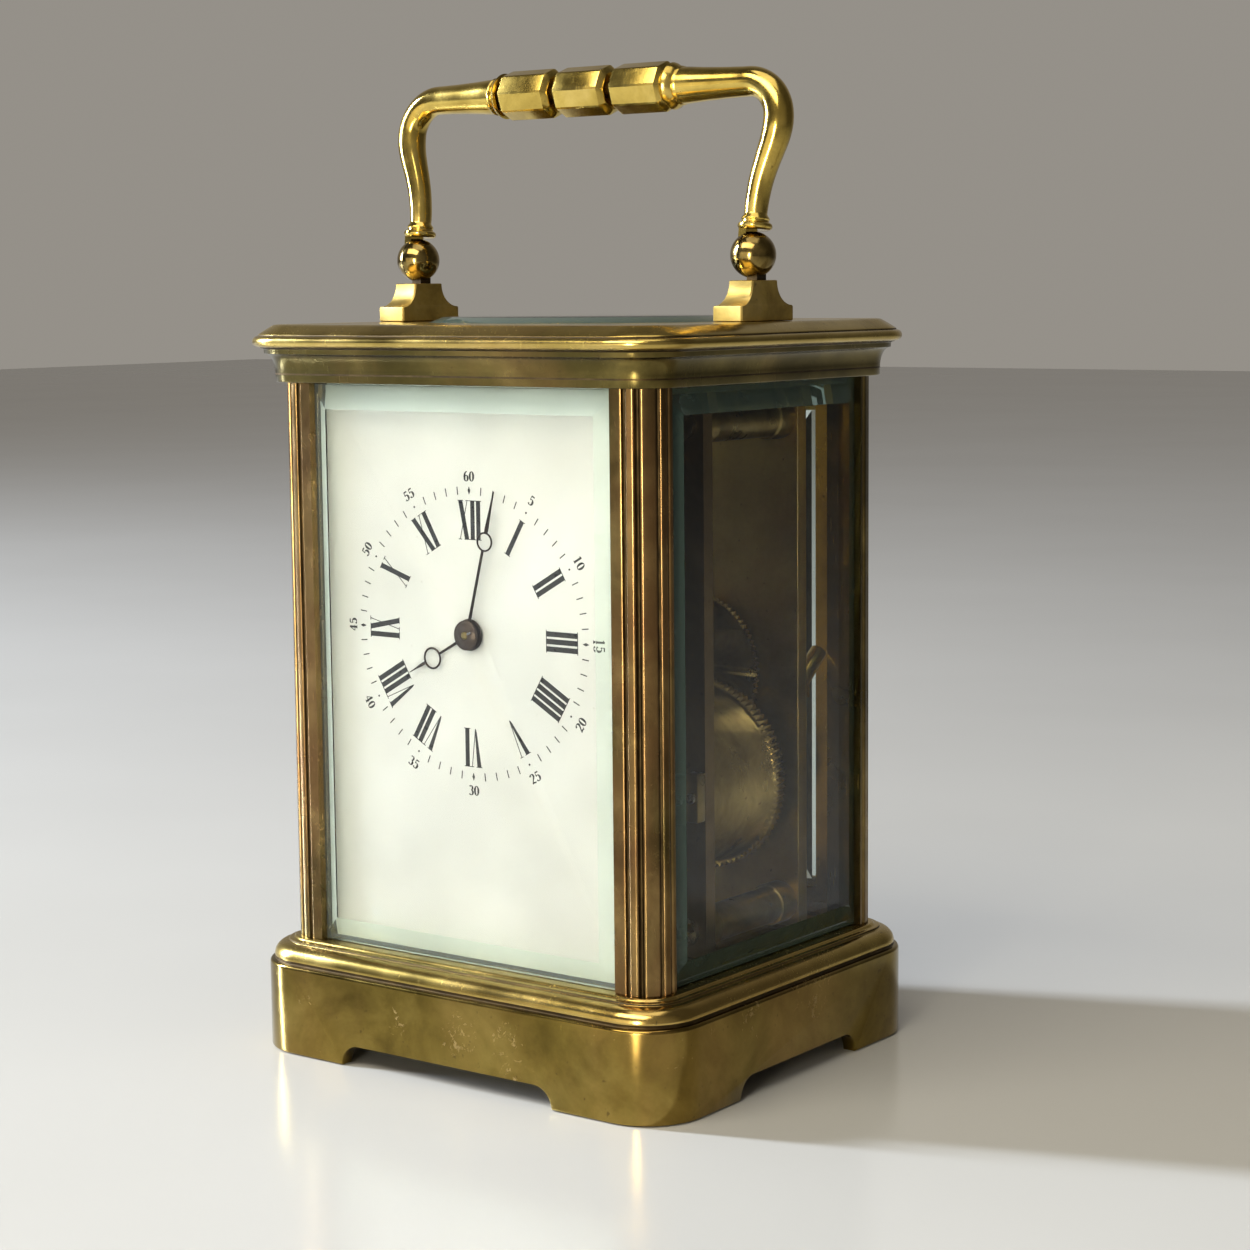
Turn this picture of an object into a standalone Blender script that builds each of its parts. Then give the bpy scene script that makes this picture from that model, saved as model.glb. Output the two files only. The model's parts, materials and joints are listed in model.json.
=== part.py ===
"""Brass carriage clock: glazed case with a swinging handle and a rear door, round a
small eight-day movement with a lever platform escapement.

Lengths below are millimetres and mm() turns them into Blender's metres. The front faces
-Y, +X is on the right hand seen from the front, and the base stands on z = 0.
"""

import math

import bmesh
import bpy
from mathutils import Matrix, Vector

# ---------------------------------------------------------------- driving dimensions (mm)
BASE_WIDTH = 83.0
BASE_DEPTH = 72.5
BASE_CORNER = 9.5  # radius of the base's vertical corners
PLINTH_TOP = 14.5  # where the plinth ends and its moulding starts
FLOOR_TOP = 18.0  # the base's flat top, on which the case stands
CORNICE_BOTTOM = 107.0
CASE_TOP = 116.0
PILLAR_INSET = 5.0  # pillars' outer faces, in from the base's outline
CORNICE_INSET = 3.25
TOP_INSET = 3.4
PILLAR_X = 7.2  # pillar section
PILLAR_Y = 5.6
PANE_THICK = 1.8
PANE_EDGE = 0.75  # what the bevel leaves of it at the edge
PANE_MARGIN = 1.0  # width of that thin edge, inside the pillars' grooves
PANE_BEVEL = 3.0
FIT = 0.1  # clearance round a fitted pane or piece
DOOR_AXIS = (-27.4, 29.5)  # hinge line, as X and Y
DOOR_HALF = 1.5  # half the door's thickness
DOOR_STILE = 4.6

HANDLE_X = 33.3  # handle pivots, each side of the middle
HANDLE_Z = 126.0
HANDLE_LEAN = math.radians(7.0)  # how far back the handle stands at rest
BALL_RADIUS = 3.5
BAR_RISE = 26.2  # the bar above the pivots
GRIP_RADIUS = 3.9  # over the grip's corners

PLATE_HALF = 29.0  # movement plates, half width
PLATE_BOTTOM = 18.4
PLATE_TOP = 104.5
FRONT_PLATE = (-8.4, -6.0)  # front and back of each plate, along Y
BACK_PLATE = (17.5, 20.0)
DIAL_FACE = -27.2

CENTRE = Vector((0.0, 69.0))  # arbors, as X and Z
BARREL = Vector((13.2, 42.8))
MODULE_GREAT = 0.33
MODULE_SECOND = 0.30
MODULE_TRAIN = 0.28
MODULE_HOUR = 0.288
GREAT_TEETH, SECOND_PINION = 92, 12
SECOND_TEETH, CENTRE_PINION = 80, 12
CENTRE_TEETH, THIRD_PINION = 80, 10
THIRD_TEETH, CONTRATE_PINION = 60, 8
CANNON_TEETH, MINUTE_TEETH = 12, 36
MINUTE_PINION, HOUR_TEETH = 10, 40
ESCAPE_TEETH = 15
RATCHET_TEETH = 20

PLATFORM_TOP = 106.4
BALANCE = Vector((6.5, 6.5))  # balance staff, as X and Y

WIDTH = BASE_WIDTH / 2
DEPTH = BASE_DEPTH / 2
PILLAR_FACE_X = WIDTH - PILLAR_INSET
PILLAR_FACE_Y = DEPTH - PILLAR_INSET
CORNERS = {"rear_left": (-1, 1), "rear_right": (1, 1), "front_left": (-1, -1), "front_right": (1, -1)}

for old in list(bpy.data.objects):
    bpy.data.objects.remove(old, do_unlink=True)

clock = bpy.data.collections.new("carriage_clock")
cutters = bpy.data.collections.new("cutters")
for group in (clock, cutters):
    bpy.context.scene.collection.children.link(group)
cutters.hide_render = True


# ---------------------------------------------------------------- materials
def material(name, color, roughness, metallic, alpha=1.0):
    made = bpy.data.materials.new(name)
    made.use_nodes = True
    shader = made.node_tree.nodes["Principled BSDF"]
    shader.inputs["Base Color"].default_value = (*color, 1.0)
    shader.inputs["Roughness"].default_value = roughness
    shader.inputs["Metallic"].default_value = metallic
    shader.inputs["Alpha"].default_value = alpha
    return made


CASE_BRASS = material("case_brass", (0.62, 0.43, 0.14), 0.28, 1.0)
HANDLE_BRASS = material("handle_brass", (0.78, 0.55, 0.18), 0.2, 1.0)
PLATE_BRASS = material("plate_brass", (0.55, 0.40, 0.16), 0.38, 1.0)
WHEEL_BRASS = material("wheel_brass", (0.66, 0.48, 0.18), 0.3, 1.0)
STEEL = material("steel", (0.45, 0.45, 0.47), 0.3, 1.0)
HAND_STEEL = material("hand_steel", (0.05, 0.04, 0.035), 0.35, 0.8)
PANE = material("pane", (0.75, 0.88, 0.84), 0.03, 0.0, 0.3)
ENAMEL = material("enamel", (0.88, 0.88, 0.84), 0.15, 0.0)


# ---------------------------------------------------------------- shape helpers
def mm(value):
    return value * 0.001


def place(name, mesh, look, helper=False):
    """Puts a mesh in the scene as a sub-part, or as a hidden cutter."""
    mesh.name = name
    made = bpy.data.objects.new(name, mesh)
    (cutters if helper else clock).objects.link(made)
    if helper:
        made.hide_render = True
        made.display_type = "WIRE"
    mesh.materials.append(look)
    return made


def from_bmesh(name, shape, look, helper=False):
    bmesh.ops.remove_doubles(shape, verts=shape.verts, dist=1e-7)
    bmesh.ops.recalc_face_normals(shape, faces=shape.faces)
    mesh = bpy.data.meshes.new(name)
    shape.to_mesh(mesh)
    shape.free()
    return place(name, mesh, look, helper)


def along(axis):
    """The turn that carries local Z onto the named world axis."""
    turns = {"X": Matrix.Rotation(math.pi / 2, 4, "Y"), "Y": Matrix.Rotation(-math.pi / 2, 4, "X")}
    return turns.get(axis, Matrix.Identity(4))


def spot(axis, across, height):
    """World place of a point given across an axis (X,Z for Y; X,Y for Z; Y,Z for X) and along it."""
    u, v = across
    return Vector({"X": (height, u, v), "Y": (u, height, v), "Z": (u, v, height)}[axis])


def box(name, low, high, look=CASE_BRASS, helper=False):
    low, high = Vector(low), Vector(high)
    shape = bmesh.new()
    bmesh.ops.create_cube(shape, size=1.0)
    size = (high - low) * 0.001
    middle = (high + low) * 0.0005
    shape.transform(Matrix.Translation(middle) @ Matrix.Diagonal((*size, 1.0)))
    return from_bmesh(name, shape, look, helper)


def rod(name, axis, across, low, high, radius, look=STEEL, helper=False, sides=16, tip=None):
    shape = bmesh.new()
    bmesh.ops.create_cone(
        shape,
        cap_ends=True,
        segments=sides,
        radius1=mm(radius),
        radius2=mm(radius if tip is None else tip),
        depth=mm(high - low),
    )
    turn = Matrix.Rotation(math.pi / sides, 4, "Z")
    middle = spot(axis, across, (low + high) / 2) * 0.001
    shape.transform(Matrix.Translation(middle) @ along(axis) @ turn)
    return from_bmesh(name, shape, look, helper)


def turned(name, axis, across, profile, look, sides=24, helper=False):
    """A lathe-turned piece: (radius, distance along the axis) pairs, spun about the axis."""
    shape = bmesh.new()
    points = [shape.verts.new((mm(radius), 0.0, mm(height))) for radius, height in profile]
    edges = [shape.edges.new(pair) for pair in zip(points, points[1:])]
    bmesh.ops.spin(
        shape, geom=points + edges, cent=(0, 0, 0), axis=(0, 0, 1), angle=2 * math.pi, steps=sides
    )
    shape.transform(Matrix.Translation(spot(axis, across, 0.0) * 0.001) @ along(axis))
    return from_bmesh(name, shape, look, helper)


def flat(name, axis, outlines, low, high, look, helper=False):
    """Closed outlines filled and extruded along the axis; inner outlines are holes."""
    curve = bpy.data.curves.new(name, "CURVE")
    curve.dimensions = "2D"
    curve.fill_mode = "BOTH"
    curve.extrude = mm((high - low) / 2)
    for outline in outlines:
        spline = curve.splines.new("POLY")
        spline.points.add(len(outline) - 1)
        for point, (u, v) in zip(spline.points, outline):
            point.co = (mm(u), mm(v), 0.0, 1.0)
        spline.use_cyclic_u = True
    guide = bpy.data.objects.new(name + "_outline", curve)
    bpy.context.scene.collection.objects.link(guide)
    graph = bpy.context.evaluated_depsgraph_get()
    mesh = bpy.data.meshes.new_from_object(guide.evaluated_get(graph))
    bpy.data.objects.remove(guide)
    shape = bmesh.new()
    shape.from_mesh(mesh)
    bpy.data.meshes.remove(mesh)
    # The outline's plane is X,Z for a piece extruded along Y, and Y,Z for one along X.
    middle = mm((low + high) / 2)
    columns = {
        "X": ((0, 0, 1, middle), (1, 0, 0, 0), (0, 1, 0, 0), (0, 0, 0, 1)),
        "Y": ((1, 0, 0, 0), (0, 0, 1, middle), (0, 1, 0, 0), (0, 0, 0, 1)),
        "Z": ((1, 0, 0, 0), (0, 1, 0, 0), (0, 0, 1, middle), (0, 0, 0, 1)),
    }
    shape.transform(Matrix(columns[axis]))
    return from_bmesh(name, shape, look, helper)


def combine(piece, other, operation="DIFFERENCE"):
    step = piece.modifiers.new(other.name, "BOOLEAN")
    step.operation = operation
    step.solver = "EXACT"
    step.object = other
    return piece


def fuse(piece, *others):
    for other in others:
        combine(piece, other, "UNION")
    return piece


def cut(piece, *others):
    for other in others:
        combine(piece, other)
    return piece


def circle(radius, sides=24, centre=(0.0, 0.0), start=0.0):
    steps = [start + 2 * math.pi * i / sides for i in range(sides)]
    return [(centre[0] + radius * math.cos(a), centre[1] + radius * math.sin(a)) for a in steps]


def rounded(half_x, half_y, radius, sides=6):
    """A rectangle with round corners, counter-clockwise, as sides + 1 points a corner."""
    points = []
    for corner in range(4):
        sx = 1 if corner in (0, 3) else -1
        sy = 1 if corner in (0, 1) else -1
        for i in range(sides + 1):
            angle = math.pi / 2 * (corner + i / sides)
            points.append(
                (
                    sx * (half_x - radius) + radius * math.cos(angle),
                    sy * (half_y - radius) + radius * math.sin(angle),
                )
            )
    return points


def moulded(name, profile, look, helper=False):
    """A solid whose section is a rounded rectangle, set in from the base's outline by a profile."""
    shape = bmesh.new()
    rings = []
    for inset, height in profile:
        outline = rounded(WIDTH - inset, DEPTH - inset, BASE_CORNER - inset)
        rings.append([shape.verts.new((mm(x), mm(y), mm(height))) for x, y in outline])
    for lower, upper in zip(rings, rings[1:]):
        for i in range(len(lower)):
            j = (i + 1) % len(lower)
            shape.faces.new((lower[i], lower[j], upper[j], upper[i]))
    shape.faces.new(rings[0][::-1])
    shape.faces.new(rings[-1])
    return from_bmesh(name, shape, look, helper)


def arc(centre, radius, start, end, steps):
    """Points along an arc, angles in degrees."""
    angles = [math.radians(start + (end - start) * i / steps) for i in range(steps + 1)]
    return [(centre[0] + radius * math.cos(a), centre[1] + radius * math.sin(a)) for a in angles]


def gear(name, across, teeth, module, low, high, look, phase=0.0, axis="Y", bore=0.0, helper=False):
    """A thin spur gear with pointed teeth, free of its mate's teeth all the way round."""
    tip = module * (teeth / 2 + 0.8)
    root = module * (teeth / 2 - 1.3)
    outline = []
    for i in range(2 * teeth):
        angle = phase + math.pi * i / teeth
        radius = root if i % 2 else tip
        outline.append((across[0] + radius * math.cos(angle), across[1] + radius * math.sin(angle)))
    outlines = [outline]
    if bore:
        outlines.append(circle(bore, 12, across))
    return flat(name, axis, outlines, low, high, look, helper)


def mate(here, there, teeth_here, teeth_there, phase_here):
    """The phase that puts the second gear's tooth spaces on the first gear's teeth."""
    line = math.atan2(there[1] - here[1], there[0] - here[0])
    turn = ((line - phase_here) / (2 * math.pi / teeth_here)) % 1.0
    return line + math.pi + (turn + 0.5) * 2 * math.pi / teeth_there


def beyond(start, distance, degrees):
    """A point at a distance and direction from another, in the plates' plane."""
    angle = math.radians(degrees)
    return start + Vector((math.cos(angle), math.sin(angle))) * distance


def with_tools(piece):
    """A piece and every object that its Booleans cut or join."""
    tools = [step.object for step in piece.modifiers if step.type == "BOOLEAN"]
    return [piece, *(each for tool in tools for each in with_tools(tool))]


def moving(name, place_mm, *pieces):
    """An empty on a joint's axis, with the body's pieces parented to it."""
    pivot = bpy.data.objects.new(name, None)
    pivot.empty_display_size = 0.004
    pivot.location = Vector(place_mm) * 0.001
    clock.objects.link(pivot)
    for piece in pieces:
        for each in with_tools(piece):
            each.parent = pivot
            each.matrix_parent_inverse = Matrix.Translation(-pivot.location)
    return pivot


# ---------------------------------------------------------------- case
def base_plinth():
    """Hollow plinth on bracket feet, with a lip, a groove and a half-round moulding."""
    quarter = [math.pi / 2 * i / 5 for i in range(6)]
    ovolo = [(0.75 + 2.35 * (1 - math.cos(a)), 15.0 + 2.2 * math.sin(a)) for a in quarter]
    profile = [(0.0, 0.0), (0.0, 14.1), (0.25, PLINTH_TOP), (0.75, PLINTH_TOP), *ovolo]
    profile += [(3.1, 17.5), (3.9, 17.5), (4.2, FLOOR_TOP)]
    base = moulded("base_plinth", profile, CASE_BRASS)
    hollow = [(2.4, -1.0), (2.4, 13.4), (3.0, 14.0)]
    cut(base, moulded("base_hollow", hollow, CASE_BRASS, helper=True))
    for axis, half, reach in (("Y", 21.0, DEPTH + 1), ("X", 16.3, WIDTH + 1)):
        height = 3.4
        outline = [(-half, -1.0), (half, -1.0), *arc((half - height, 0), height, 0, 90, 5)]
        outline += arc((height - half, 0), height, 90, 180, 5)
        cut(base, flat("feet_" + axis, axis, [outline], -reach, reach, CASE_BRASS, helper=True))
    for sides in CORNERS.values():
        cut(base, rod("base_hole", "Z", screw_place(sides), 12.0, 19.0, 1.1, helper=True))
    cut(base, rod("hinge_hole_bottom", "Z", DOOR_AXIS, 15.0, 19.0, 0.85, helper=True))
    return base


def screw_place(sides):
    return (sides[0] * (PILLAR_FACE_X - 4.0), sides[1] * (PILLAR_FACE_Y - 3.2))


def pillar(name, sides):
    """Corner pillar: square inside with grooves for the panes, a reeded round outside."""
    side_x, side_y = sides
    reeds = []
    radius = BASE_CORNER - PILLAR_INSET
    for i in range(13):
        angle = math.radians(180 + 90 * i / 12)
        reach = radius - (0.35 if i in (3, 6, 9) else 0.0)
        reeds.append((radius + reach * math.cos(angle), radius + reach * math.sin(angle)))
    outline = [*reeds, (PILLAR_X, 0.0)]
    if side_y < 0:
        outline += [(PILLAR_X, 1.25), (PILLAR_X - 1.0, 1.25), (PILLAR_X - 1.0, 2.5), (PILLAR_X, 2.5)]
    outline += [(PILLAR_X, PILLAR_Y), (2.5, PILLAR_Y), (2.5, PILLAR_Y - 1.0)]
    outline += [(1.25, PILLAR_Y - 1.0), (1.25, PILLAR_Y), (0.0, PILLAR_Y)]
    placed = [(side_x * (PILLAR_FACE_X - u), side_y * (PILLAR_FACE_Y - v)) for u, v in outline]
    made = flat(name, "Z", [placed], FLOOR_TOP + 0.05, CORNICE_BOTTOM - 0.05, CASE_BRASS)
    return cut(made, rod(name + "_hole", "Z", screw_place(sides), 17.0, 25.5, 1.05, helper=True))


def top_frame():
    """Cornice: fascia, hollow, half-round bead and a flat top with an oval window."""
    quarter = [math.pi / 2 * i / 5 for i in range(6)]
    hollow = [(3.25 - 1.7 * (1 - math.cos(a)), 108.4 + 3.1 * math.sin(a)) for a in quarter]
    half = [math.pi / 2 * (i / 3 - 1) for i in range(7)]
    bead = [(0.55 - 0.85 * math.cos(a), 113.4 + 0.85 * math.sin(a)) for a in half]
    flare = [(0.55, 114.45), (1.2, 114.9), (2.3, 115.6), (TOP_INSET, CASE_TOP)]
    profile = [(CORNICE_INSET + 0.2, CORNICE_BOTTOM), (CORNICE_INSET, 107.3), *hollow]
    profile += [(1.55, 112.3), *bead, *flare]
    top = moulded("top_frame", profile, CASE_BRASS)
    inside = rounded(PILLAR_FACE_X - 7.4, PILLAR_FACE_Y - 3.2, 3.0, 4)
    cut(top, flat("top_hollow", "Z", [inside], 106.0, 113.0, CASE_BRASS, helper=True))
    for name, half_x, half_y, low in (("window", 24.6, 17.0, 110.0), ("window_seat", 27.0, 19.2, 114.0)):
        oval = [(half_x * x, half_y * y) for x, y in circle(1.0, 40)]
        cut(top, flat(name, "Z", [oval], low, 118.0, CASE_BRASS, helper=True))
    cut(top, rod("hinge_hole_top", "Z", DOOR_AXIS, 106.0, 110.0, 0.85, helper=True))
    return top


def top_glass():
    """Oval pane with a bevelled rim, standing a little proud of the case's top."""
    rings = ((26.9, 19.1, 114.05), (26.9, 19.1, 115.9), (24.4, 16.6, 116.9))
    shape = bmesh.new()
    loops = []
    for half_x, half_y, height in rings:
        oval = circle(1.0, 40)
        loops.append([shape.verts.new((mm(half_x * x), mm(half_y * y), mm(height))) for x, y in oval])
    for lower, upper in zip(loops, loops[1:]):
        for i in range(40):
            j = (i + 1) % 40
            shape.faces.new((lower[i], lower[j], upper[j], upper[i]))
    shape.faces.new(loops[0][::-1])
    shape.faces.new(loops[-1])
    return from_bmesh("top_glass", shape, PANE)


def pane(name, axis, middle, half, low, high, inner, outer):
    """Flat pane with a wide bevel on its outer face; its sides are half from its middle."""
    shape = bmesh.new()
    grow = 1.0 if outer > inner else -1.0
    thin = inner + grow * PANE_EDGE
    rings = ((0.0, inner), (0.0, thin), (PANE_MARGIN, thin), (PANE_MARGIN + PANE_BEVEL, outer))
    loops = []
    for inset, depth in rings:
        left, right = middle - half + inset, middle + half - inset
        corners = [(left, low + inset), (right, low + inset), (right, high - inset), (left, high - inset)]
        loops.append([shape.verts.new(spot(axis, corner, depth) * 0.001) for corner in corners])
    for lower, upper in zip(loops, loops[1:]):
        for i in range(4):
            j = (i + 1) % 4
            shape.faces.new((lower[i], lower[j], upper[j], upper[i]))
    shape.faces.new(loops[0])
    shape.faces.new(loops[-1])
    return from_bmesh(name, shape, PANE)


def build_case():
    base_plinth()
    for name, sides in CORNERS.items():
        pillar("pillar_" + name, sides)
        shank = rod("case_screw_" + name, "Z", screw_place(sides), 13.0, 25.0, 0.95, sides=12)
        fuse(shank, rod("screw_head_" + name, "Z", screw_place(sides), 12.6, 13.9, 2.1, STEEL, True))
    top_frame()
    top_glass()
    low, high = FLOOR_TOP + FIT, CORNICE_BOTTOM - FIT
    front_half = PILLAR_FACE_X - PILLAR_X + 0.9
    front = 0.25 - PILLAR_FACE_Y
    pane("front_glass", "Y", 0.0, front_half, low, high, front + PANE_THICK, front)
    side_half = PILLAR_FACE_Y - PILLAR_Y + 0.9
    for name, side in (("left_glass", -1), ("right_glass", 1)):
        outer = side * (PILLAR_FACE_X - 0.25)
        pane(name, "X", 0.0, side_half, low, high, outer - side * PANE_THICK, outer)


def build_door():
    """Glazed rear door on two pivot pins, with its hinge stile rounded about them."""
    left, right = DOOR_AXIS[0], PILLAR_FACE_X - PILLAR_X - 0.3
    front, back = DOOR_AXIS[1] - DOOR_HALF, DOOR_AXIS[1] + DOOR_HALF
    low, high = FLOOR_TOP + 0.4, CORNICE_BOTTOM - 0.4
    outline = [*arc(DOOR_AXIS, DOOR_HALF, 90, 270, 6), (right, front), (right, back)]
    frame = flat("rear_door_frame", "Z", [outline], low, high, CASE_BRASS)
    middle = (left + right) / 2
    half = (right - left) / 2 - DOOR_STILE
    bottom, top = low + DOOR_STILE, high - DOOR_STILE
    corners = (middle - half, 20, bottom + 0.8), (middle + half, 40, top - 0.8)
    window = box("door_window", *corners, helper=True)
    wide = half + 1.2
    corners = (middle - wide, 20, bottom - 0.4), (middle + wide, 30.1, top + 0.4)
    rebate = box("door_rebate", *corners, helper=True)
    cut(frame, window, rebate)
    cut(frame, rod("door_pin_hole_bottom", "Z", DOOR_AXIS, low - 1, low + 4.4, 0.85, helper=True))
    cut(frame, rod("door_pin_hole_top", "Z", DOOR_AXIS, high - 4.4, high + 1, 0.85, helper=True))
    glass = pane("rear_door_glass", "Y", middle, half + 1.1, bottom - 0.3, top + 0.3, 28.25, 30.05)
    knob_profile = [(0.0, 31.05), (1.1, 31.05), (1.1, 31.9), (2.1, 32.5), (2.3, 33.2), (1.6, 34.2)]
    knob_profile.append((0.0, 34.5))
    knob = turned("door_knob", "Y", (right - 2.3, 63.0), knob_profile, HANDLE_BRASS, 20)
    rod("door_pin_bottom", "Z", DOOR_AXIS, 15.2, low + 4.0, 0.75, sides=12)
    rod("door_pin_top", "Z", DOOR_AXIS, high - 4.0, 109.8, 0.75, sides=12)
    moving("door_hinge", (*DOOR_AXIS, low), frame, glass, knob)


# ---------------------------------------------------------------- handle
def handle_post(name, x):
    """Concave-sided pedestal, with the right-hand part of the knuckle ball on top."""
    levels = [(2.65, 7.05, CASE_TOP + 0.05), (2.65, 7.05, 118.4)]
    for i in range(1, 7):
        turn = math.pi / 2 * i / 6
        narrow = math.sin(turn)
        levels.append((2.65 - 0.45 * narrow, 7.05 - 3.65 * narrow, 118.4 + 3.8 * (1 - math.cos(turn))))
    shape = bmesh.new()
    loops = []
    for half_x, half_y, height in levels:
        corners = ((-half_x, -half_y), (half_x, -half_y), (half_x, half_y), (-half_x, half_y))
        loops.append([shape.verts.new((mm(x + u), mm(v), mm(height))) for u, v in corners])
    for lower, upper in zip(loops, loops[1:]):
        for i in range(4):
            j = (i + 1) % 4
            shape.faces.new((lower[i], lower[j], upper[j], upper[i]))
    shape.faces.new(loops[0][::-1])
    shape.faces.new(loops[-1])
    post = from_bmesh(name, shape, HANDLE_BRASS)
    neck = box(name + "_neck", (x - 0.35, -1.3, 121.8), (x + 1.9, 1.3, 124.5), helper=True)
    return fuse(post, neck, knuckle(name + "_ball", x, -0.35, BALL_RADIUS))


def knuckle(name, x, start, end):
    """The slice of the knuckle ball between two distances from its middle along X."""
    profile = []
    for i in range(9):
        reach = start + (end - start) * i / 8
        profile.append((math.sqrt(max(BALL_RADIUS**2 - reach**2, 0.0)), x + reach))
    if end < BALL_RADIUS:
        profile.append((0.0, x + end))
    if start > -BALL_RADIUS:
        profile.insert(0, (0.0, x + start))
    return turned(name, "X", (0.0, HANDLE_Z), profile, HANDLE_BRASS, 24, helper=True)


def handle_path():
    """Half of the bail's centre line as (across, up from the pivot, radius), middle outwards."""
    core = [(0.0, BAR_RISE, 1.5), (17.3, BAR_RISE, 1.5), (17.5, BAR_RISE, 3.0), (19.0, BAR_RISE, 2.75)]
    bar = [(23.0, BAR_RISE, 2.55), (27.5, BAR_RISE, 2.35)]
    bend = [(x, up, 2.25) for x, up in arc((30.6, BAR_RISE - 5.7), 5.7, 80, -12, 7)]
    arm = [(35.6, 16.4, 2.1), (34.6, 13.3, 2.0), (33.75, 10.6, 1.9), (33.35, 8.0, 1.85)]
    arm.append((HANDLE_X, 5.4, 1.85))
    return core + bar + bend + arm


def build_handle():
    half = handle_path()
    path = [(-x, up, radius) for x, up, radius in reversed(half[1:])] + half
    curve = bpy.data.curves.new("handle_bail", "CURVE")
    curve.dimensions = "3D"
    curve.bevel_depth = mm(1.0)
    curve.bevel_resolution = 2
    curve.use_fill_caps = True
    spline = curve.splines.new("POLY")
    spline.points.add(len(path) - 1)
    for point, (x, up, radius) in zip(spline.points, path):
        point.co = (mm(x), 0.0, mm(HANDLE_Z + up), 1.0)
        point.radius = radius
    guide = bpy.data.objects.new("handle_line", curve)
    bpy.context.scene.collection.objects.link(guide)
    graph = bpy.context.evaluated_depsgraph_get()
    mesh = bpy.data.meshes.new_from_object(guide.evaluated_get(graph))
    bpy.data.objects.remove(guide)
    shape = bmesh.new()
    shape.from_mesh(mesh)
    bpy.data.meshes.remove(mesh)
    bail = from_bmesh("handle_bail", shape, HANDLE_BRASS)
    for name, x in (("left", -HANDLE_X), ("right", HANDLE_X)):
        ear = knuckle("handle_ear_" + name, x, -BALL_RADIUS, -0.55)
        low, high = (x - 1.9, -1.5, HANDLE_Z), (x - 0.55, 1.5, HANDLE_Z + 4.6)
        web = box("handle_web_" + name, low, high, helper=True)
        collar_profile = [(0.0, 129.75), (2.3, 129.75), (2.6, 130.2), (2.6, 130.7), (2.0, 131.4)]
        collar_profile += [(1.6, 132.4), (0.0, 132.4)]
        collar = turned("handle_collar_" + name, "Z", (x, 0.0), collar_profile, HANDLE_BRASS, 20, helper=True)
        fuse(bail, ear, web, collar)
        cut(bail, rod("handle_bore_" + name, "X", (0.0, HANDLE_Z), x - 3.8, x, 1.05, helper=True))
    grips = []
    for name, middle in (("left", -11.1), ("middle", 0.0), ("right", 11.1)):
        core = (0.0, HANDLE_Z + BAR_RISE)
        ends = (middle - 5.1, middle + 5.1)
        grip = rod("handle_grip_" + name, "X", core, *ends, GRIP_RADIUS, HANDLE_BRASS, sides=8)
        bore = rod("grip_bore_" + name, "X", core, middle - 6, middle + 6, 1.65, helper=True)
        grips.append(cut(grip, bore))
    for name, x in (("left", -HANDLE_X), ("right", HANDLE_X)):
        post = handle_post("handle_post_" + name, x)
        cut(post, rod("post_bore_" + name, "X", (0.0, HANDLE_Z), x - 1.0, x + 2.2, 0.75, helper=True))
        centre = (0.0, HANDLE_Z)
        pin = rod("handle_pivot_" + name, "X", centre, x - 2.6, x + 2.0, 0.7, STEEL, sides=12)
        fuse(pin, rod("pivot_head_" + name, "X", centre, x - 3.4, x - 2.2, 0.95, STEEL, True, sides=12))
    pivot = moving("handle_pivot", (0.0, 0.0, HANDLE_Z), bail, *grips)
    pivot.rotation_euler.x = -HANDLE_LEAN


# ---------------------------------------------------------------- movement
def meeting(first, reach_first, second, reach_second):
    """The point at two given distances from two others, on the right of the line between them."""
    line = second - first
    span = line.length
    forward = (reach_first**2 - reach_second**2 + span**2) / (2 * span)
    aside = math.sqrt(reach_first**2 - forward**2)
    line /= span
    return first + line * forward + Vector((line.y, -line.x)) * aside


SECOND = meeting(
    BARREL,
    MODULE_GREAT * (GREAT_TEETH + SECOND_PINION) / 2,
    CENTRE,
    MODULE_SECOND * (SECOND_TEETH + CENTRE_PINION) / 2,
)
THIRD = beyond(CENTRE, MODULE_TRAIN * (CENTRE_TEETH + THIRD_PINION) / 2, 110.0)
CONTRATE = beyond(THIRD, MODULE_TRAIN * (THIRD_TEETH + CONTRATE_PINION) / 2, 75.0)
MINUTE = beyond(CENTRE, MODULE_SECOND * (CANNON_TEETH + MINUTE_TEETH) / 2, 215.0)
CLICK = BARREL + Vector((-9.4, -2.0))
ESCAPE = Vector((CONTRATE.x, 2.2))  # the escape arbor stands upright, as X and Y
TO_BALANCE = (BALANCE - ESCAPE).normalized()
LEVER = ESCAPE + TO_BALANCE * 4.5
MOVEMENT_PILLARS = [(x, z) for x in (-25.5, 25.5) for z in (22.4, 100.6)]


def movement_plate(name, low, high, holes):
    rectangle = [(-PLATE_HALF, PLATE_BOTTOM), (PLATE_HALF, PLATE_BOTTOM)]
    rectangle += [(PLATE_HALF, PLATE_TOP), (-PLATE_HALF, PLATE_TOP)]
    pierced = [circle(radius, 16, centre) for centre, radius in holes]
    return flat(name, "Y", [rectangle, *pierced], low, high, PLATE_BRASS)


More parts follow.
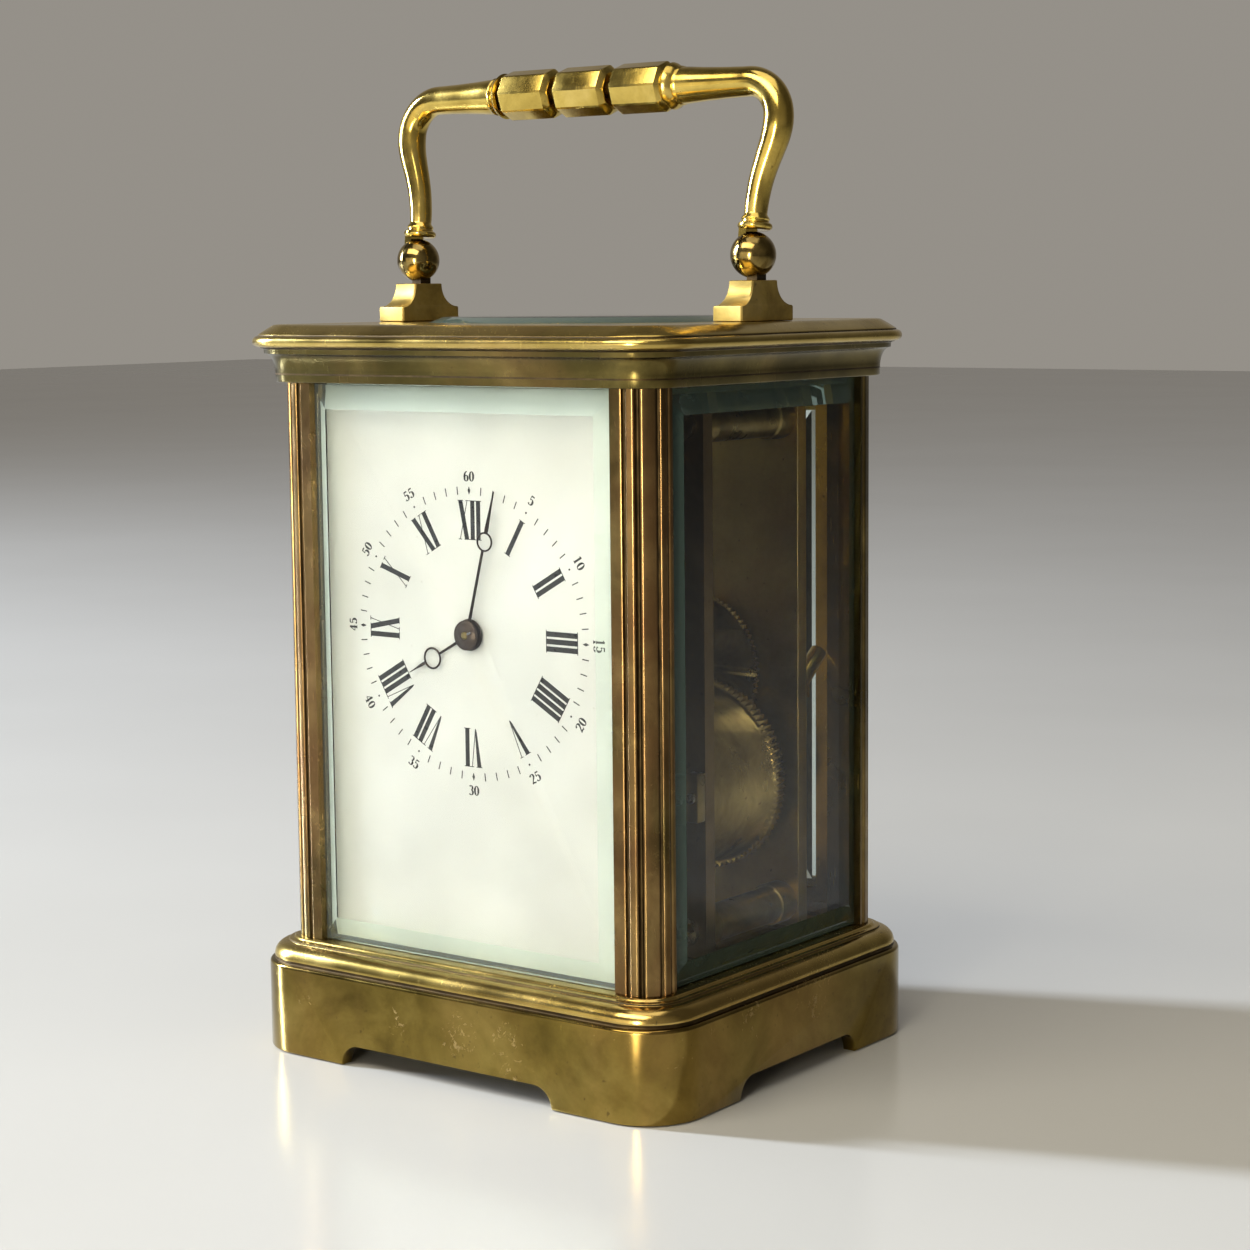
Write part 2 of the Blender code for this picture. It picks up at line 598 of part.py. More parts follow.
def build_frame():
    small = [(SECOND, 0.55), (THIRD, 0.55), (CONTRATE, 0.55)]
    front = movement_plate("front_plate", *FRONT_PLATE, [(CENTRE, 0.75), (BARREL, 1.65), *small])
    fuse(front, rod("minute_stud", "Y", MINUTE, -14.0, -8.0, 0.5, helper=True, sides=12))
    movement_plate("back_plate", *BACK_PLATE, [(CENTRE, 1.1), (BARREL, 1.65), (CLICK, 0.7), *small])
    for i, across in enumerate(MOVEMENT_PILLARS):
        rod(f"movement_pillar_{i + 1}", "Y", across, -5.95, 17.45, 3.1, PLATE_BRASS, sides=16)
    platform = box("platform_plate", (-15, -8.2, 104.9), (15, 19.8, PLATFORM_TOP), PLATE_BRASS)
    cut(platform, rod("escape_hole", "Z", ESCAPE, 104.0, 107.0, 0.6, helper=True))
    cock = box("balance_cock", (3.5, 14.6, PLATFORM_TOP + 0.05), (9.5, 19.6, 111.9), PLATE_BRASS)
    arm = [(8.9, 19.5), (4.1, 19.5), (4.6, 10.0), *arc(BALANCE, 1.9, 190, 350, 8), (8.4, 10.0)]
    fuse(cock, flat("cock_arm", "Z", [arm], 111.5, 112.4, PLATE_BRASS, helper=True))
    x, y = ESCAPE
    bridge = box("escape_bridge", (x - 1.3, y - 7.6, 108.4), (x + 1.1, y + 8.2, 109.2), PLATE_BRASS)
    for i, end in enumerate((y - 7.5, y + 5.9)):
        low, high = (x - 1.2, end, PLATFORM_TOP + 0.05), (x + 1.0, end + 2.2, 108.6)
        fuse(bridge, box(f"bridge_foot_{i}", low, high, helper=True))


def build_dial():
    rectangle = [(-29.0, 18.4), (29.0, 18.4), (29.0, 106.6), (-29.0, 106.6)]
    outlines = [rectangle, circle(1.9, 20, CENTRE)]
    flat("dial_plate", "Y", outlines, DIAL_FACE, DIAL_FACE + 1.0, ENAMEL)
    back = flat("dial_backplate", "Y", outlines, DIAL_FACE + 1.05, DIAL_FACE + 1.85, PLATE_BRASS)
    for i, across in enumerate([(x, z) for x in (-24.0, 24.0) for z in (27.0, 96.0)]):
        end = FRONT_PLATE[0] - 0.05
        fuse(back, rod(f"dial_foot_{i}", "Y", across, -25.6, end, 1.4, helper=True, sides=12))


def clockwise(points, degrees):
    """Points laid out from noon about the centre, turned clockwise as seen from the front."""
    c, s = math.cos(math.radians(degrees)), math.sin(math.radians(degrees))
    return [(CENTRE.x + x * c + z * s, CENTRE.y - x * s + z * c) for x, z in points]


def hand(name, length, moon, degrees, low, bore):
    """Moon hand: a slim tapered blade, an open ring and a fine tip."""
    ring, reach = moon
    left = [(-0.32, 2.4), (-0.22, ring - reach)]
    left += arc((0, ring), reach, 255, 105, 10)
    left += [(-0.18, ring + reach + 0.1), (0.0, length)]
    right = [(-x, z) for x, z in reversed(left[:-1])]
    outline = left + right + arc((0, 0), bore + 0.6, 80, -260, 20)
    eye = circle(reach - 0.42, 16, (0.0, ring))
    outlines = [clockwise(outline, degrees), clockwise(eye, degrees), circle(bore, 16, CENTRE)]
    return flat(name, "Y", outlines, low, low + 0.25, HAND_STEEL)


def arbor(name, across, *wheels, pivot=0.45, front=-8.2, back=19.8):
    """A steel arbor with turned-down pivots, carrying the given wheels."""
    made = rod(name, "Y", across, -5.85, 17.35, 0.8, WHEEL_BRASS, sides=12)
    pivots = rod(name + "_pivots", "Y", across, front, back, pivot, STEEL, True, sides=12)
    return fuse(made, pivots, *wheels)


def wheel(name, across, teeth, module, low, high, phase):
    """The toothed brass disc of a wheel, to be fused to its arbor."""
    return gear(name, across, teeth, module, low, high, WHEEL_BRASS, phase, helper=True)


def pinion(name, across, leaves, module, low, high, phase):
    """The steel leaves of a pinion, to be fused to its arbor."""
    return gear(name, across, leaves, module, low, high, STEEL, phase, helper=True)


def coil(centre, inner, outer, turns, steps, thick):
    """Outline of a flat spiral strip."""
    count = turns * steps
    line = []
    for i in range(count + 1):
        line.append((2 * math.pi * i / steps, inner + (outer - inner) * i / count))
    edges = [(angle, radius + thick / 2) for angle, radius in line]
    edges += [(angle, radius - thick / 2) for angle, radius in reversed(line)]
    return [(centre[0] + radius * math.cos(a), centre[1] + radius * math.sin(a)) for a, radius in edges]


def crown_wheel(name, across, teeth, outer, inner, heights):
    """A contrate wheel: a dished disc whose pointed teeth stand up from its rim."""
    back, web, gullet, tip = heights
    shape = bmesh.new()
    rows = ((outer, back, back), (outer, gullet, tip), (inner, gullet, tip), (inner, web, web))
    loops = []
    for radius, low, high in rows:
        ring = circle(radius, 2 * teeth, across)
        heights_here = [(high if i % 2 else low) for i in range(2 * teeth)]
        loops.append([shape.verts.new(spot("Y", p, h) * 0.001) for p, h in zip(ring, heights_here)])
    for lower, upper in zip(loops, loops[1:]):
        for i in range(2 * teeth):
            j = (i + 1) % (2 * teeth)
            shape.faces.new((lower[i], lower[j], upper[j], upper[i]))
    shape.faces.new(loops[0])
    shape.faces.new(loops[-1])
    return from_bmesh(name, shape, WHEEL_BRASS, helper=True)


def build_train():
    great_phase = 0.0
    second_phase = mate(BARREL, SECOND, GREAT_TEETH, SECOND_PINION, great_phase)
    centre_phase = mate(SECOND, CENTRE, SECOND_TEETH, CENTRE_PINION, second_phase)
    third_phase = mate(CENTRE, THIRD, CENTRE_TEETH, THIRD_PINION, centre_phase)
    contrate_phase = mate(THIRD, CONTRATE, THIRD_TEETH, CONTRATE_PINION, third_phase)
    minute_phase = mate(CENTRE, MINUTE, CANNON_TEETH, MINUTE_TEETH, 0.0)
    hour_phase = mate(MINUTE, CENTRE, MINUTE_PINION, HOUR_TEETH, minute_phase)

    drum = [(1.7, 11.2), (13.2, 11.2), (13.2, -4.7), (14.2, -4.7), (14.2, 12.3), (1.7, 12.3), (1.7, 11.2)]
    barrel = gear("barrel", BARREL, GREAT_TEETH, MODULE_GREAT, 12.2, 14.6, WHEEL_BRASS, great_phase, bore=1.7)
    fuse(barrel, turned("barrel_drum", "Y", BARREL, drum, WHEEL_BRASS, 40, helper=True))
    disc = [circle(13.1, 40, BARREL), circle(1.7, 16, BARREL)]
    cover = flat("barrel_cover", "Y", disc, -4.65, -3.65, WHEEL_BRASS)
    spring = flat("mainspring", "Y", [coil(BARREL, 9.4, 12.9, 4, 16, 0.4)], -3.3, 10.9, STEEL)
    moving("barrel_axis", (BARREL.x, 0.0, BARREL.y), barrel, cover, spring)

    winding = rod("barrel_arbor", "Y", BARREL, -8.2, 21.6, 1.55, STEEL, sides=16)
    core = rod("arbor_core", "Y", BARREL, -3.4, 11.0, 3.4, STEEL, True, sides=16)
    square = rod("arbor_square", "Y", BARREL, 21.3, 27.2, 1.8, STEEL, True, sides=4)
    fuse(winding, core, square)
    ratchet_module = 5.6 / (RATCHET_TEETH / 2 + 0.8)
    ratchet = gear("ratchet_wheel", BARREL, RATCHET_TEETH, ratchet_module, 20.3, 21.2, STEEL, 0.0, bore=1.65)
    moving("winding_axis", (BARREL.x, 0.0, BARREL.y), winding, ratchet)

    second = arbor(
        "second_wheel",
        SECOND,
        wheel("second_teeth", SECOND, SECOND_TEETH, MODULE_SECOND, 15.5, 16.5, second_phase),
        pinion("second_leaves", SECOND, SECOND_PINION, MODULE_GREAT, 11.9, 15.0, second_phase),
    )
    moving("second_axis", (SECOND.x, 0.0, SECOND.y), second)

    centre = arbor(
        "centre_wheel",
        CENTRE,
        wheel("centre_teeth", CENTRE, CENTRE_TEETH, MODULE_TRAIN, 4.0, 5.0, centre_phase),
        pinion("centre_leaves", CENTRE, CENTRE_PINION, MODULE_SECOND, 15.0, 17.2, centre_phase),
        rod("setting_square", "Y", CENTRE, 20.3, 26.6, 1.35, STEEL, True, sides=4),
        rod("setting_arbor", "Y", CENTRE, 17.0, 20.6, 1.0, STEEL, True, sides=12),
        pivot=0.6,
        front=-29.0,
    )
    cannon = gear("cannon_pinion", CENTRE, CANNON_TEETH, MODULE_SECOND, -11.8, -9.2, STEEL, 0.0)
    fuse(cannon, rod("cannon_pipe", "Y", CENTRE, -28.45, -9.0, 1.05, STEEL, True, sides=16))
    cut(cannon, rod("cannon_bore", "Y", CENTRE, -30.0, -8.0, 0.68, helper=True, sides=16))
    minute = hand("minute_hand", 22.6, (14.9, 1.5), 14.4, -28.42, 1.12)
    collet_profile = [(0.68, -28.95), (1.1, -28.95), (2.05, -28.7), (2.05, -28.5)]
    collet_profile += [(0.68, -28.5), (0.68, -28.95)]
    collet = turned("hand_collet", "Y", CENTRE, collet_profile, HAND_STEEL, 20)
    moving("minute_axis", (CENTRE.x, 0.0, CENTRE.y), centre, cannon, minute, collet)

    hour_wheel = gear("hour_wheel", CENTRE, HOUR_TEETH, MODULE_HOUR, -13.2, -12.2, WHEEL_BRASS, hour_phase)
    fuse(hour_wheel, rod("hour_pipe", "Y", CENTRE, -27.85, -12.3, 1.6, WHEEL_BRASS, True, sides=16))
    cut(hour_wheel, rod("hour_bore", "Y", CENTRE, -30.0, -10.0, 1.15, helper=True, sides=16))
    hour = hand("hour_hand", 12.8, (8.6, 1.7), 241.2, -27.82, 1.65)
    moving("hour_axis", (CENTRE.x, 0.0, CENTRE.y), hour_wheel, hour)

    minute_wheel = gear(
        "minute_wheel", MINUTE, MINUTE_TEETH, MODULE_SECOND, -11.5, -10.5, WHEEL_BRASS, minute_phase
    )
    leaves = pinion("minute_leaves", MINUTE, MINUTE_PINION, MODULE_HOUR, -13.5, -11.4, minute_phase)
    fuse(minute_wheel, leaves)
    cut(minute_wheel, rod("minute_bore", "Y", MINUTE, -15.0, -9.0, 0.6, helper=True, sides=12))
    moving("minute_wheel_axis", (MINUTE.x, 0.0, MINUTE.y), minute_wheel)

    third = arbor(
        "third_wheel",
        THIRD,
        wheel("third_teeth", THIRD, THIRD_TEETH, MODULE_TRAIN, 8.5, 9.5, third_phase),
        pinion("third_leaves", THIRD, THIRD_PINION, MODULE_TRAIN, 3.5, 5.5, third_phase),
    )
    moving("third_axis", (THIRD.x, 0.0, THIRD.y), third)

    contrate = arbor(
        "contrate_wheel",
        CONTRATE,
        crown_wheel("contrate_teeth", CONTRATE, 48, 8.4, 7.6, (-2.2, -1.2, 0.3, 1.0)),
        pinion("contrate_leaves", CONTRATE, CONTRATE_PINION, MODULE_TRAIN, 8.1, 9.9, contrate_phase),
    )
    moving("contrate_axis", (CONTRATE.x, 0.0, CONTRATE.y), contrate)


def build_winding_click():
    """Click and its spring on the back plate, holding the ratchet wheel."""
    tail = [(0.9, 0.9), (-0.9, 0.9), (-1.1, -2.2), (0.2, -2.6), (4.2, -1.1), (4.2, -0.5)]
    outline = [(CLICK.x + x, CLICK.y + z) for x, z in tail]
    click = flat("click", "Y", [outline], 20.3, 21.1, STEEL)
    fuse(click, rod("click_pin", "Y", CLICK, 17.8, 20.6, 0.6, STEEL, True, sides=12))
    moving("click_axis", (CLICK.x, 0.0, CLICK.y), click)
    foot = [(-2.4, -9.0), (-3.0, -9.0), (-3.0, -12.0), (0.6, -12.0), (0.6, -9.0), (-1.8, -9.0)]
    blade = [(-1.55, -3.2), (-1.0, -2.75), (-1.35, -2.45), (-2.1, -3.0)]
    spring_outline = [(CLICK.x + x, CLICK.y + z) for x, z in foot + blade]
    flat("click_spring", "Y", [spring_outline], 20.05, 20.9, STEEL)


def build_escapement():
    module = 3.2 / (ESCAPE_TEETH / 2 + 0.8)
    escape = gear("escape_wheel", ESCAPE, ESCAPE_TEETH, module, 107.0, 107.35, WHEEL_BRASS, axis="Z")
    staff = rod("escape_staff", "Z", ESCAPE, 96.0, 108.2, 0.5, STEEL, True, sides=12)
    leaves = gear("escape_leaves", ESCAPE, 7, 0.22, 96.4, 100.6, STEEL, axis="Z", helper=True)
    fuse(escape, staff, leaves)
    moving("escape_axis", (*ESCAPE, 107.0), escape)

    half = [(3.9, 0.4), (0.6, 0.4), (0.2, 1.2), (-0.9, 2.7), (-1.5, 2.35), (-0.75, 0.9)]
    outline = half + [(p, -q) for p, q in reversed(half)]
    forward, aside = TO_BALANCE, Vector((-TO_BALANCE.y, TO_BALANCE.x))
    placed = [LEVER + forward * p + aside * q for p, q in outline]
    lever = flat("pallet_lever", "Z", [placed], 107.0, 107.35, STEEL)
    fuse(lever, rod("lever_staff", "Z", LEVER, PLATFORM_TOP + 0.1, 108.3, 0.3, STEEL, True, sides=8))
    moving("lever_axis", (*LEVER, 107.0), lever)

    moons = [arc(BALANCE, 5.3, start, start + 160, 20) for start in (10, 190)]
    balance = flat("balance_wheel", "Z", [circle(6.2, 40, BALANCE), *moons], 109.8, 110.6, WHEEL_BRASS)
    fuse(balance, rod("balance_staff", "Z", BALANCE, PLATFORM_TOP + 0.1, 111.3, 0.35, STEEL, True, sides=10))
    spiral = flat("hairspring", "Z", [coil(BALANCE, 0.75, 3.3, 4, 14, 0.16)], 110.8, 111.05, HAND_STEEL)
    moving("balance_axis", (*BALANCE, 110.0), balance, spiral)

    tail = BALANCE.x - 5.6
    index = [*arc(BALANCE, 1.5, 195, 525, 16), (tail, BALANCE.y + 0.3), (tail, BALANCE.y - 0.3)]
    regulator = flat("regulator", "Z", [index, circle(0.7, 12, BALANCE)], 112.5, 112.85, STEEL)
    moving("regulator_axis", (*BALANCE, 112.5), regulator)


build_case()
build_door()
build_handle()
build_frame()
build_dial()
build_train()
build_winding_click()
build_escapement()
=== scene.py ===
"""Looks for the carriage clock: fine geometry, procedural materials, soft light and the camera.

Lengths are millimetres in the tables and calls below; MM turns them into metres. The frame is the
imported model's: -Y is the dial side, +X the right seen from the front, and the feet stand on z = 0.
"""

import json
import math

import bmesh
import bpy
from mathutils import Matrix, Vector


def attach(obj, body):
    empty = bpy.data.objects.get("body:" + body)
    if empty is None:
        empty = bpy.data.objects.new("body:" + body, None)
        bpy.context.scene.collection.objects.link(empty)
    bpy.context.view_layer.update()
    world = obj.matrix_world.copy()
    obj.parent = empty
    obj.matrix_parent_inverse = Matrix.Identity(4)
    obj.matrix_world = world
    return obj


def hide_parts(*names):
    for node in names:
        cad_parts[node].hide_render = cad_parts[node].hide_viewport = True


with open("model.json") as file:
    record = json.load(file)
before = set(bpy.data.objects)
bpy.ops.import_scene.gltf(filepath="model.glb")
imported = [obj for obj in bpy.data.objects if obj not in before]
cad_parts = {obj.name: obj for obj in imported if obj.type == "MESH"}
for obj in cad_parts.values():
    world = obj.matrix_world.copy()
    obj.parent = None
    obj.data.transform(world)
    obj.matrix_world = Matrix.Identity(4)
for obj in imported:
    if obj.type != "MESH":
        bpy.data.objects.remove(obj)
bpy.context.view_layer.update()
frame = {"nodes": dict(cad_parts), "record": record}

MM = 0.001
HALF_X, HALF_Y = 41.5, 36.25  # half the base
CORNER = 9.5
FACE_X, FACE_Y = 36.5, 31.25  # the pillars' outer faces
PILLAR_X, PILLAR_Y, PILLAR_CORNER = 7.2, 5.6, 4.5
FLOOR_TOP, CORNICE_LOW = 18.0, 107.0
HINGE_X, HINGE_Y, PIN_HOLE = -27.4, 29.5, 0.85
HANDLE_X, HANDLE_Z, BAR_RISE, BALL = 33.3, 126.0, 26.2, 3.5
LEAN = Matrix.Rotation(math.radians(-7.0), 4, "X")
DIAL_Y, CENTRE_Z = -27.2, 69.0
PLATE_FRONT, PLATE_REAR = -8.4, 20.0  # the outer faces of the movement's two plates
PLATE_PILLARS = [(x, z) for x in (-25.5, 25.5) for z in (22.4, 100.6)]
CORNERS = {"rear_left": (-1, 1), "rear_right": (1, 1), "front_left": (-1, -1), "front_right": (1, -1)}


# ------------------------------------------------------------------ materials
class Nodes:
    """A small builder for one material's node tree."""

    def __init__(self, name):
        self.material = bpy.data.materials.new(name)
        self.material.use_nodes = True
        self.tree = self.material.node_tree
        self.shader = self.tree.nodes["Principled BSDF"]
        self.place = self.add("ShaderNodeTexCoord").outputs["Object"]

    def add(self, kind, **inputs):
        node = self.tree.nodes.new(kind)
        for name, value in inputs.items():
            self.put(node.inputs[name.replace("_", " ")], value)
        return node

    def put(self, socket, value):
        if isinstance(value, bpy.types.NodeSocket):
            self.tree.links.new(value, socket)
        else:
            socket.default_value = value

    def set(self, **inputs):
        for name, value in inputs.items():
            self.put(self.shader.inputs[name.replace("_", " ")], value)

    def stretched(self, scale, turn=(0.0, 0.0, 0.0)):
        node = self.add("ShaderNodeMapping", Vector=self.place, Scale=scale, Rotation=turn)
        return node.outputs["Vector"]

    def noise(self, scale, detail=4.0, rough=0.55, vector=None, distortion=0.0):
        node = self.add(
            "ShaderNodeTexNoise",
            Vector=vector or self.place,
            Scale=scale,
            Detail=detail,
            Roughness=rough,
            Distortion=distortion,
        )
        return node.outputs["Fac"]

    def ramp(self, value, *stops):
        """Maps a value through (position, grey or colour) stops."""
        node = self.add("ShaderNodeValToRGB", Fac=value)
        elements = node.color_ramp.elements
        while len(elements) < len(stops):
            elements.new(0.5)
        for element, (position, shade) in zip(elements, stops):
            element.position = position
            element.color = (*shade, 1.0) if isinstance(shade, tuple) else (shade, shade, shade, 1.0)
        return node.outputs["Color"]

    def mix(self, factor, first, second, blend="MIX"):
        node = self.tree.nodes.new("ShaderNodeMix")
        node.data_type = "RGBA"
        node.blend_type = blend
        sockets = [s for s in node.inputs if s.enabled]
        for socket, value in zip(sockets, (factor, first, second)):
            if isinstance(value, tuple) and len(value) == 3:
                value = (*value, 1.0)
            self.put(socket, value)
        return next(s for s in node.outputs if s.enabled)

    def math(self, operation, first, second=0.0):
        node = self.tree.nodes.new("ShaderNodeMath")
        node.operation = operation
        self.put(node.inputs[0], first)
        self.put(node.inputs[1], second)
        return node.outputs[0]

    def patch(self, centre, reach):
        """A soft-edged ball of influence about a point, in millimetres."""
        node = self.add("ShaderNodeVectorMath", Vector=self.place)
        node.operation = "DISTANCE"
        self.put(node.inputs[1], tuple(c * MM for c in centre))
        away = self.math("DIVIDE", node.outputs["Value"], reach * MM)
        return self.ramp(away, (0.35, 1.0), (1.0, 0.0))

    def bump(self, height, strength, distance):
        node = self.add("ShaderNodeBump", Height=height, Strength=strength, Distance=distance)
        self.set(Normal=node.outputs["Normal"])


def brass(name, dull, mid, bright, rough, patch, flakes=0.0, pink=0.0, grain=None, worn_spots=()):
    """Aged brass: clouded tarnish between three tones, rubbed flakes, hairline scratches and pits."""
    n = Nodes(name)
    cloud = n.noise(patch, 6.0, 0.62, distortion=0.4)
    tone = n.ramp(cloud, (0.3, dull), (0.5, mid), (0.72, bright))
    if pink:
        blush = n.noise(patch * 0.55, 5.0, 0.6, n.stretched((1.0, 1.0, 0.35)))
        tone = n.mix(n.ramp(blush, (0.45, 0.0), (0.62, pink)), tone, (0.62, 0.30, 0.13))
    fine = n.ramp(n.noise(1500.0, 5.0, 0.7), (0.25, 0.8), (0.75, 1.0))
    tone = n.mix(0.6, tone, fine, "MULTIPLY")
    scratch = n.noise(260.0, 3.0, 0.6, n.stretched((9.0, 9.0, 0.8), (0.35, 0.2, 0.0)))
    lines = n.ramp(scratch, (0.64, 0.0), (0.68, 1.0))
    specks = n.ramp(n.noise(900.0, 2.0, 0.5), (0.70, 0.0), (0.76, 1.0))
    tone = n.mix(n.math("MULTIPLY", specks, 0.55), tone, (0.07, 0.045, 0.02))
    roughness = n.ramp(n.noise(patch * 1.7, 3.0, 0.5), (0.3, rough[0]), (0.7, rough[1]))
    if flakes:
        worn = n.noise(640.0, 8.0, 0.8, distortion=0.5)
        where = n.ramp(n.noise(46.0, 2.0, 0.5, n.stretched((1.0, 1.0, 0.7))), (0.56, 0.0), (0.62, 1.0))
        for spot in worn_spots:
            where = n.mix(1.0, where, n.patch(*spot), "LIGHTEN")
        level = n.math("ADD", worn, n.math("MULTIPLY", where, 0.13))
        flake = n.math("MULTIPLY", n.ramp(level, (0.69, 0.0), (0.73, 1.0)), flakes)
        tone = n.mix(flake, tone, (0.40, 0.285, 0.12))
        roughness = n.mix(flake, roughness, (0.5, 0.5, 0.5))
    roughness = n.mix(n.math("MULTIPLY", lines, 0.22), roughness, (0.5, 0.5, 0.5))
    height = n.mix(0.5, n.noise(500.0, 5.0, 0.7), lines)
    if grain:
        height = n.mix(0.5, height, n.noise(220.0, 2.0, 0.5, n.stretched(grain)))
    n.set(Base_Color=tone, Metallic=1.0, Roughness=roughness)
    n.bump(height, 0.05, 0.00006)
    return n.material


def steel(name, dark, light, rough):
    """Polished or blackened steel with a slight unevenness of tone and gloss."""
    n = Nodes(name)
    tone = n.ramp(n.noise(220.0, 3.0, 0.5), (0.2, dark), (0.8, light))
    n.set(Base_Color=tone, Metallic=1.0)
    n.set(Roughness=n.ramp(n.noise(300.0, 3.0, 0.5), (0.3, rough * 0.85), (0.7, rough * 1.15)))
    n.bump(n.noise(1200.0, 2.0, 0.5), 0.03, 0.00001)
    return n.material


def clear_glass(name, tint, clarity=1.0, bend=1.45):
    """Old polished plate glass with faint handling marks in its gloss; below full clarity, part of it is a
    flat tint that paints in the tone seen through a bevel.
    """
    n = Nodes(name)
    shade = n.noise(60.0, 3.0, 0.5)
    n.set(Base_Color=n.ramp(shade, (0.3, tuple(0.9 * c for c in tint)), (0.7, tint)))
    n.set(Metallic=0.0, IOR=bend, Transmission_Weight=clarity)
    n.set(Roughness=n.ramp(n.noise(90.0, 5.0, 0.6), (0.55, 0.0), (0.8, 0.02)))
    n.bump(n.noise(35.0, 2.0, 0.5), 0.03, 0.0001)
    return n.material


CASE = brass("tarnished_brass", (0.12, 0.082, 0.017), (0.23, 0.163, 0.036), (0.36, 0.265, 0.07),
             (0.10, 0.22), 75.0, flakes=0.8, pink=0.12,
             worn_spots=(((12.5, -36.0, 9.5), 5.5), ((14.5, -36.0, 5.0), 4.5), ((3.0, -36.0, 10.0), 5.0),
                         ((-9.0, -36.0, 8.5), 4.0), ((-29.0, -36.0, 9.5), 3.5), ((41.3, -13.0, 9.8), 2.5)))
# A brighter copy of the case brass: on the upper mouldings of the base and the cornice it is a painted
# highlight.
MOULDING = brass("moulding_brass", (0.34, 0.24, 0.06), (0.50, 0.365, 0.10), (0.64, 0.48, 0.16),
                 (0.15, 0.28), 60.0, flakes=0.2, pink=0.15)
CORNICE = brass("cornice_brass", (0.058, 0.045, 0.013), (0.10, 0.077, 0.023), (0.19, 0.145, 0.045),
                (0.15, 0.28), 60.0, flakes=0.2, pink=0.12)
PILLAR = brass("pillar_brass", (0.05, 0.036, 0.013), (0.10, 0.073, 0.025), (0.24, 0.178, 0.066),
               (0.16, 0.30), 90.0, flakes=0.15, pink=0.22, grain=(1.0, 1.0, 0.03))
# Painted shade: a darker brass for the grooves, the handle bar between the grips and the posts' necks, with
# some patina in it.
SHADE_BRASS = brass("patina_and_painted_shade", (0.030, 0.020, 0.010), (0.055, 0.036, 0.015), (0.10, 0.065, 0.026),
               (0.4, 0.6), 200.0)
HANDLE = brass("handle_brass", (0.40, 0.275, 0.055), (0.60, 0.43, 0.10), (0.78, 0.58, 0.18),
               (0.10, 0.24), 110.0)
POST = brass("post_brass", (0.34, 0.23, 0.06), (0.52, 0.37, 0.10), (0.68, 0.50, 0.17), (0.34, 0.5), 130.0)
BALL_BRASS = brass("knuckle_brass", (0.13, 0.09, 0.028), (0.25, 0.175, 0.055), (0.44, 0.32, 0.11),
                   (0.10, 0.2), 260.0)
MOVEMENT = brass("plate_brass", (0.10, 0.062, 0.026), (0.17, 0.11, 0.045), (0.25, 0.17, 0.07),
                 (0.28, 0.44), 50.0, grain=(1.0, 1.0, 0.05))
GILT = brass("gilt_plate_brass", (0.34, 0.24, 0.08), (0.48, 0.35, 0.125), (0.60, 0.45, 0.17),
             (0.3, 0.44), 50.0, grain=(1.0, 1.0, 0.05))
WHEEL = brass("wheel_brass", (0.14, 0.10, 0.036), (0.24, 0.175, 0.066), (0.36, 0.27, 0.105),
              (0.25, 0.4), 120.0)
STEEL = steel("polished_steel", (0.30, 0.30, 0.305), (0.42, 0.42, 0.43), 0.26)
BLACK_STEEL = steel("blackened_steel", (0.020, 0.015, 0.014), (0.055, 0.040, 0.036), 0.34)
COLLET = steel("browned_steel", (0.045, 0.032, 0.026), (0.13, 0.095, 0.075), 0.42)
SPRING = steel("blued_spring", (0.05, 0.06, 0.10), (0.12, 0.14, 0.22), 0.3)
GLASS = clear_glass("plate_glass", (0.97, 0.99, 0.975), 1.0, 1.3)
# Edge tints: the green of the glass's edge, with painted light and shade of what lies behind: pale over the
# dial, dark over the shaded inside, between the two round the oval.
BEVEL = clear_glass("bevel_over_dial", (0.74, 0.88, 0.82), 0.92)
SIDE_BEVEL = clear_glass("bevel_over_dark", (0.10, 0.165, 0.14), 0.72)
TOP_BEVEL = clear_glass("bevel_of_oval", (0.34, 0.46, 0.39), 0.85)


def enamel():
    """White enamel with a breath of unevenness, faint specks and a hard gloss."""
    n = Nodes("white_enamel")
    tone = n.ramp(n.noise(40.0, 4.0, 0.5), (0.3, (0.80, 0.80, 0.755)), (0.7, (0.86, 0.86, 0.825)))
    specks = n.ramp(n.noise(1300.0, 2.0, 0.5), (0.77, 0.0), (0.82, 0.5))
    n.set(Base_Color=n.mix(specks, tone, (0.42, 0.39, 0.34)), IOR=1.5)
    n.set(Roughness=n.ramp(n.noise(260.0, 3.0, 0.5), (0.3, 0.10), (0.7, 0.17)))
    n.bump(n.noise(120.0, 3.0, 0.5), 0.04, 0.00008)
    return n.material


def ink():
    """Fired black, a little uneven in tone and gloss."""
    n = Nodes("fired_black")
    tone = n.ramp(n.noise(2600.0, 3.0, 0.6), (0.3, (0.008, 0.008, 0.010)), (0.75, (0.035, 0.034, 0.036)))
    n.set(Base_Color=tone, Roughness=n.ramp(n.noise(1500.0, 2.0, 0.5), (0.3, 0.25), (0.7, 0.4)))
    return n.material


ENAMEL, INK = enamel(), ink()


# ------------------------------------------------------------------ shape helpers
WELD = 1e-7


def solid(name, shape):
    """Welds a bmesh, turns its faces outwards and makes an object of it."""
    bmesh.ops.remove_doubles(shape, verts=shape.verts, dist=WELD)
    bmesh.ops.recalc_face_normals(shape, faces=shape.faces)
    mesh = bpy.data.meshes.new(name)
    shape.to_mesh(mesh)
    shape.free()
    made = bpy.data.objects.new(name, mesh)
    bpy.context.scene.collection.objects.link(made)
    return made


